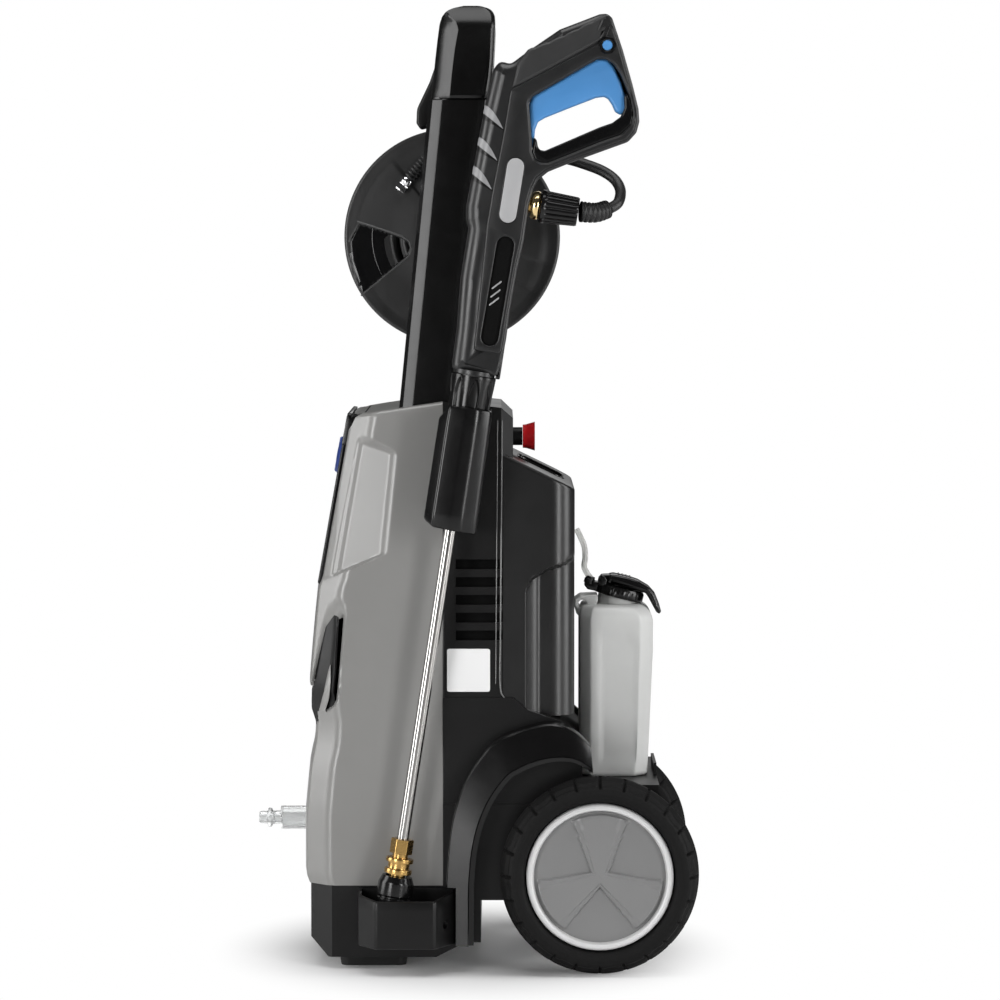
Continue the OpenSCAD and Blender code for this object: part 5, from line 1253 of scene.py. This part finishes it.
def cap_plate(name, outline, radius, fine, half, edge, steps, t0=None):
    """A plate across the cap, from -half or t0 to half."""
    t0, t1 = sorted((-half if t0 is None else t0, half))
    return rounded_plate(name, fillet(outline, radius, fine), t0, t1, edge, material="satin", matrix=CAP, steps=steps)


RING = [(21.2, -2.6), (25.0, -2.6), (25.6, -1.8), (25.6, 5.2), (24.8, 6.2), (24.2, 7.4), (22.8, 8.0), (15.5, 8.0),
        (15.5, 5.6), (21.2, 5.6)]
CAP_CHEEK = [(-24, 5), (-24, 12), (-20, 16), (-16, 12), (-16, 5)]
LID = [(-15, 9.0), (-15, 17.6), (-11, 19.6), (4, 20.2), (16, 19.2), (28, 15.6), (36, 10.2), (42, 1.8), (46.4, -6),
       (45, -8.9), (41.5, -7.6), (35, -0.6), (30, 5), (26, 8.6), (18, 9.2)]
LID_ROOT = [(-23.6, 12), (-22.5, 15.2), (-20, 16.2), (-12, 18.4), (-12, 9.4), (-20, 8.8), (-22.6, 9.6)]
put(join("bottle_cap_skin", [
    lathe("ring", RING, CAP, "satin", 220, knurl, closed=True),
    cap_plate("boss", [(-37.4, 1), (-36.5, 6.6), (-22.5, 7.8), (-22.5, -2), (-33, -2.4)], 1.6, 3, 10, 1.6, 3),
    lathe("nose", [(2.6, 4), (5.6, 4), (5.6, 8.4), (4.9, 9.2), (4.6, 11.4), (2.6, 11.4)],
          CAP @ turned(-33.4, -6, 0, (0.05, 0, 1)), "satin", 32, closed=True),
    lathe("pin", [(0, -16.9), (1.95, -16.9), (1.95, 16.9), (0, 16.9)], CAP @ turned(-20, 0, 12, (0, 1, 0)), "satin",
          20),
    *[cap_plate("cheek", CAP_CHEEK, [0.5, 3, 3, 3, 0.5], 4, s * 12.3, 0.7, 2, s * 16.8) for s in (-1, 1)]]), "bottle")
put(join("bottle_lid_skin", [
    cap_plate("lid", LID, [1, 3, 6, 14, 12, 10, 8, 10, 2, 1.4, 4, 8, 6, 3, 2], 3, 18.5, 3.4, 4),
    cap_plate("root", LID_ROOT, 1.4, 3, 11.6, 0.8, 2),
    *[block("rib", u, u + 1.6, -12, 12, 19.2, 20.9, "satin", 0.6, CAP) for u in (-6, -2, 2, 6)]]), "bottle_lid")

# ---- small details on the housing

SEAM_LINE = [(26.8, 556), (26.4, 500), (25.8, 420), (25.2, 340), (24.8, 290), (29, 276), (42, 268), (62, 260),
             (85, 251)]
INNER_SEAM = [(x - 4.4, z) for x, z in SEAM_LINE[:5]]
FRONT_SEAM = [(SEAM_X + 0.6, z) for z in (88, 160, 250, 340, 430, 500, 560)]
# seams: name, line, how far it stands proud, radius, material
# the rear and inner beads are light grey as a painted highlight; the front bead is plain black
SEAMS = [("rear", SEAM_LINE, 0.05, 0.9, "seam"), ("inner", INNER_SEAM, 0.05, 0.6, "seam"),
         ("front", FRONT_SEAM, 0.02, 0.7, "black")]
LABEL = fillet([(-28.7, 281.9), (14.7, 281.9), (14.7, 325.5), (-28.7, 325.5)], 2.5, 4)
for side, s in SIDES:
    for name, line, proud, radius, material in SEAMS:
        points = catmull([(x, s * (side_at(z) + proud), z) for x, z in line], 4)
        put(tube("seam_%s_%s" % (name, side), points, radius, 10, material))
    # near-black sheets inside the housing behind the louvres, as painted shade
    put(rounded_plate("painted_shade_sheet_" + side, [(-31, 300), (35.5, 300), (35.5, 430), (-31, 430)],
                      *sorted((s * 107.5, s * 109.5)), 0.3, material="painted_shade", steps=1))
    y = s * (side_at(303) + 0.1)
    put(rounded_plate("blank_plate_" + side, LABEL, *sorted((y, y + s * 0.7)), 0.25, material="label", steps=2),
        "chassis")

# ---- stage and light

floor = add_object("floor", bpy.data.meshes.new("floor"))
floor.data.from_pydata([(-9, -7, 0), (9, -7, 0), (9, 9, 0), (-9, 9, 0)], [], [(0, 1, 2, 3)])
fn = material_nodes("pale_floor")
fn.shader(Base_Color=fn.ramp(fn.noise(3, 3), (0.87, 0.87, 0.87), 0.86 / 0.87, 0.88 / 0.87), Roughness=0.42)
place = fn.node("ShaderNodeTexCoord").outputs["Object"]
flat = fn.node("ShaderNodeVectorMath", operation="MULTIPLY", _0=place, _1=(1.0, 0.8, 0.0)).outputs["Vector"]
reach = fn.node("ShaderNodeVectorMath", operation="LENGTH", _0=flat).outputs["Value"]
fade = fn.node("ShaderNodeMapRange", interpolation_type="SMOOTHSTEP", Value=reach, From_Min=0.14, From_Max=0.28)
seen = fn.node("ShaderNodeLightPath").outputs["Is Camera Ray"]
share = fn.node("ShaderNodeMath", operation="MULTIPLY", _0=fade.outputs["Result"], _1=seen).outputs["Value"]
glow = fn.node("ShaderNodeEmission", Color=(1, 1, 1, 1), Strength=1.0).outputs["Emission"]
mix = fn.node("ShaderNodeMixShader", _0=share, _1=fn.surface, _2=glow).outputs["Shader"]
fn.tree.links.new(mix, fn.out.inputs["Surface"])
floor.data.materials.append(fn.owner)

scene.world = bpy.data.worlds.new("world")
wn = Nodes(scene.world, "ShaderNodeOutputWorld")
rays = wn.node("ShaderNodeLightPath").outputs
shown = wn.node("ShaderNodeMath", operation="MAXIMUM", _0=rays["Is Camera Ray"], _1=rays["Is Transmission Ray"])
light, white = (wn.node("ShaderNodeBackground", Color=(1, 1, 1, 1), Strength=v).outputs["Background"]
                for v in (0.05, 1.0))
mix = wn.node("ShaderNodeMixShader", _0=shown.outputs["Value"], _1=light, _2=white).outputs["Shader"]
wn.tree.links.new(mix, wn.out.inputs["Surface"])

# softboxes: name, place, target, size, power
SOFTBOXES = [
    ("left_wall", (-2.6, -0.35, 1.1), (0, -0.1, 0.5), (1.1, 2.0), 40),
    ("right_wall", (2.6, -0.5, 1.1), (0, -0.1, 0.5), (1.1, 2.2), 44),
    ("left_front", (-2.3, -3.6, 0.95), (0, -0.1, 0.45), (1.0, 2.2), 88),
    ("right_front", (2.5, -3.2, 0.95), (0, -0.1, 0.45), (0.7, 2.0), 62),
    ("top", (0.0, -0.3, 2.9), (0, 0, 0), (2.4, 1.6), 46),
    ("back", (0.6, 2.6, 1.6), (0, 0, 0.5), (1.6, 1.4), 8),
]
for name, place, target, size, power in SOFTBOXES:
    lamp = bpy.data.lights.new(name, "AREA")
    lamp.shape, lamp.energy = "RECTANGLE", power
    lamp.size, lamp.size_y = size
    obj = add_object(name, lamp)
    obj.location = place
    obj.rotation_euler = (Vector(target) - Vector(place)).to_track_quat("-Z", "Y").to_euler()
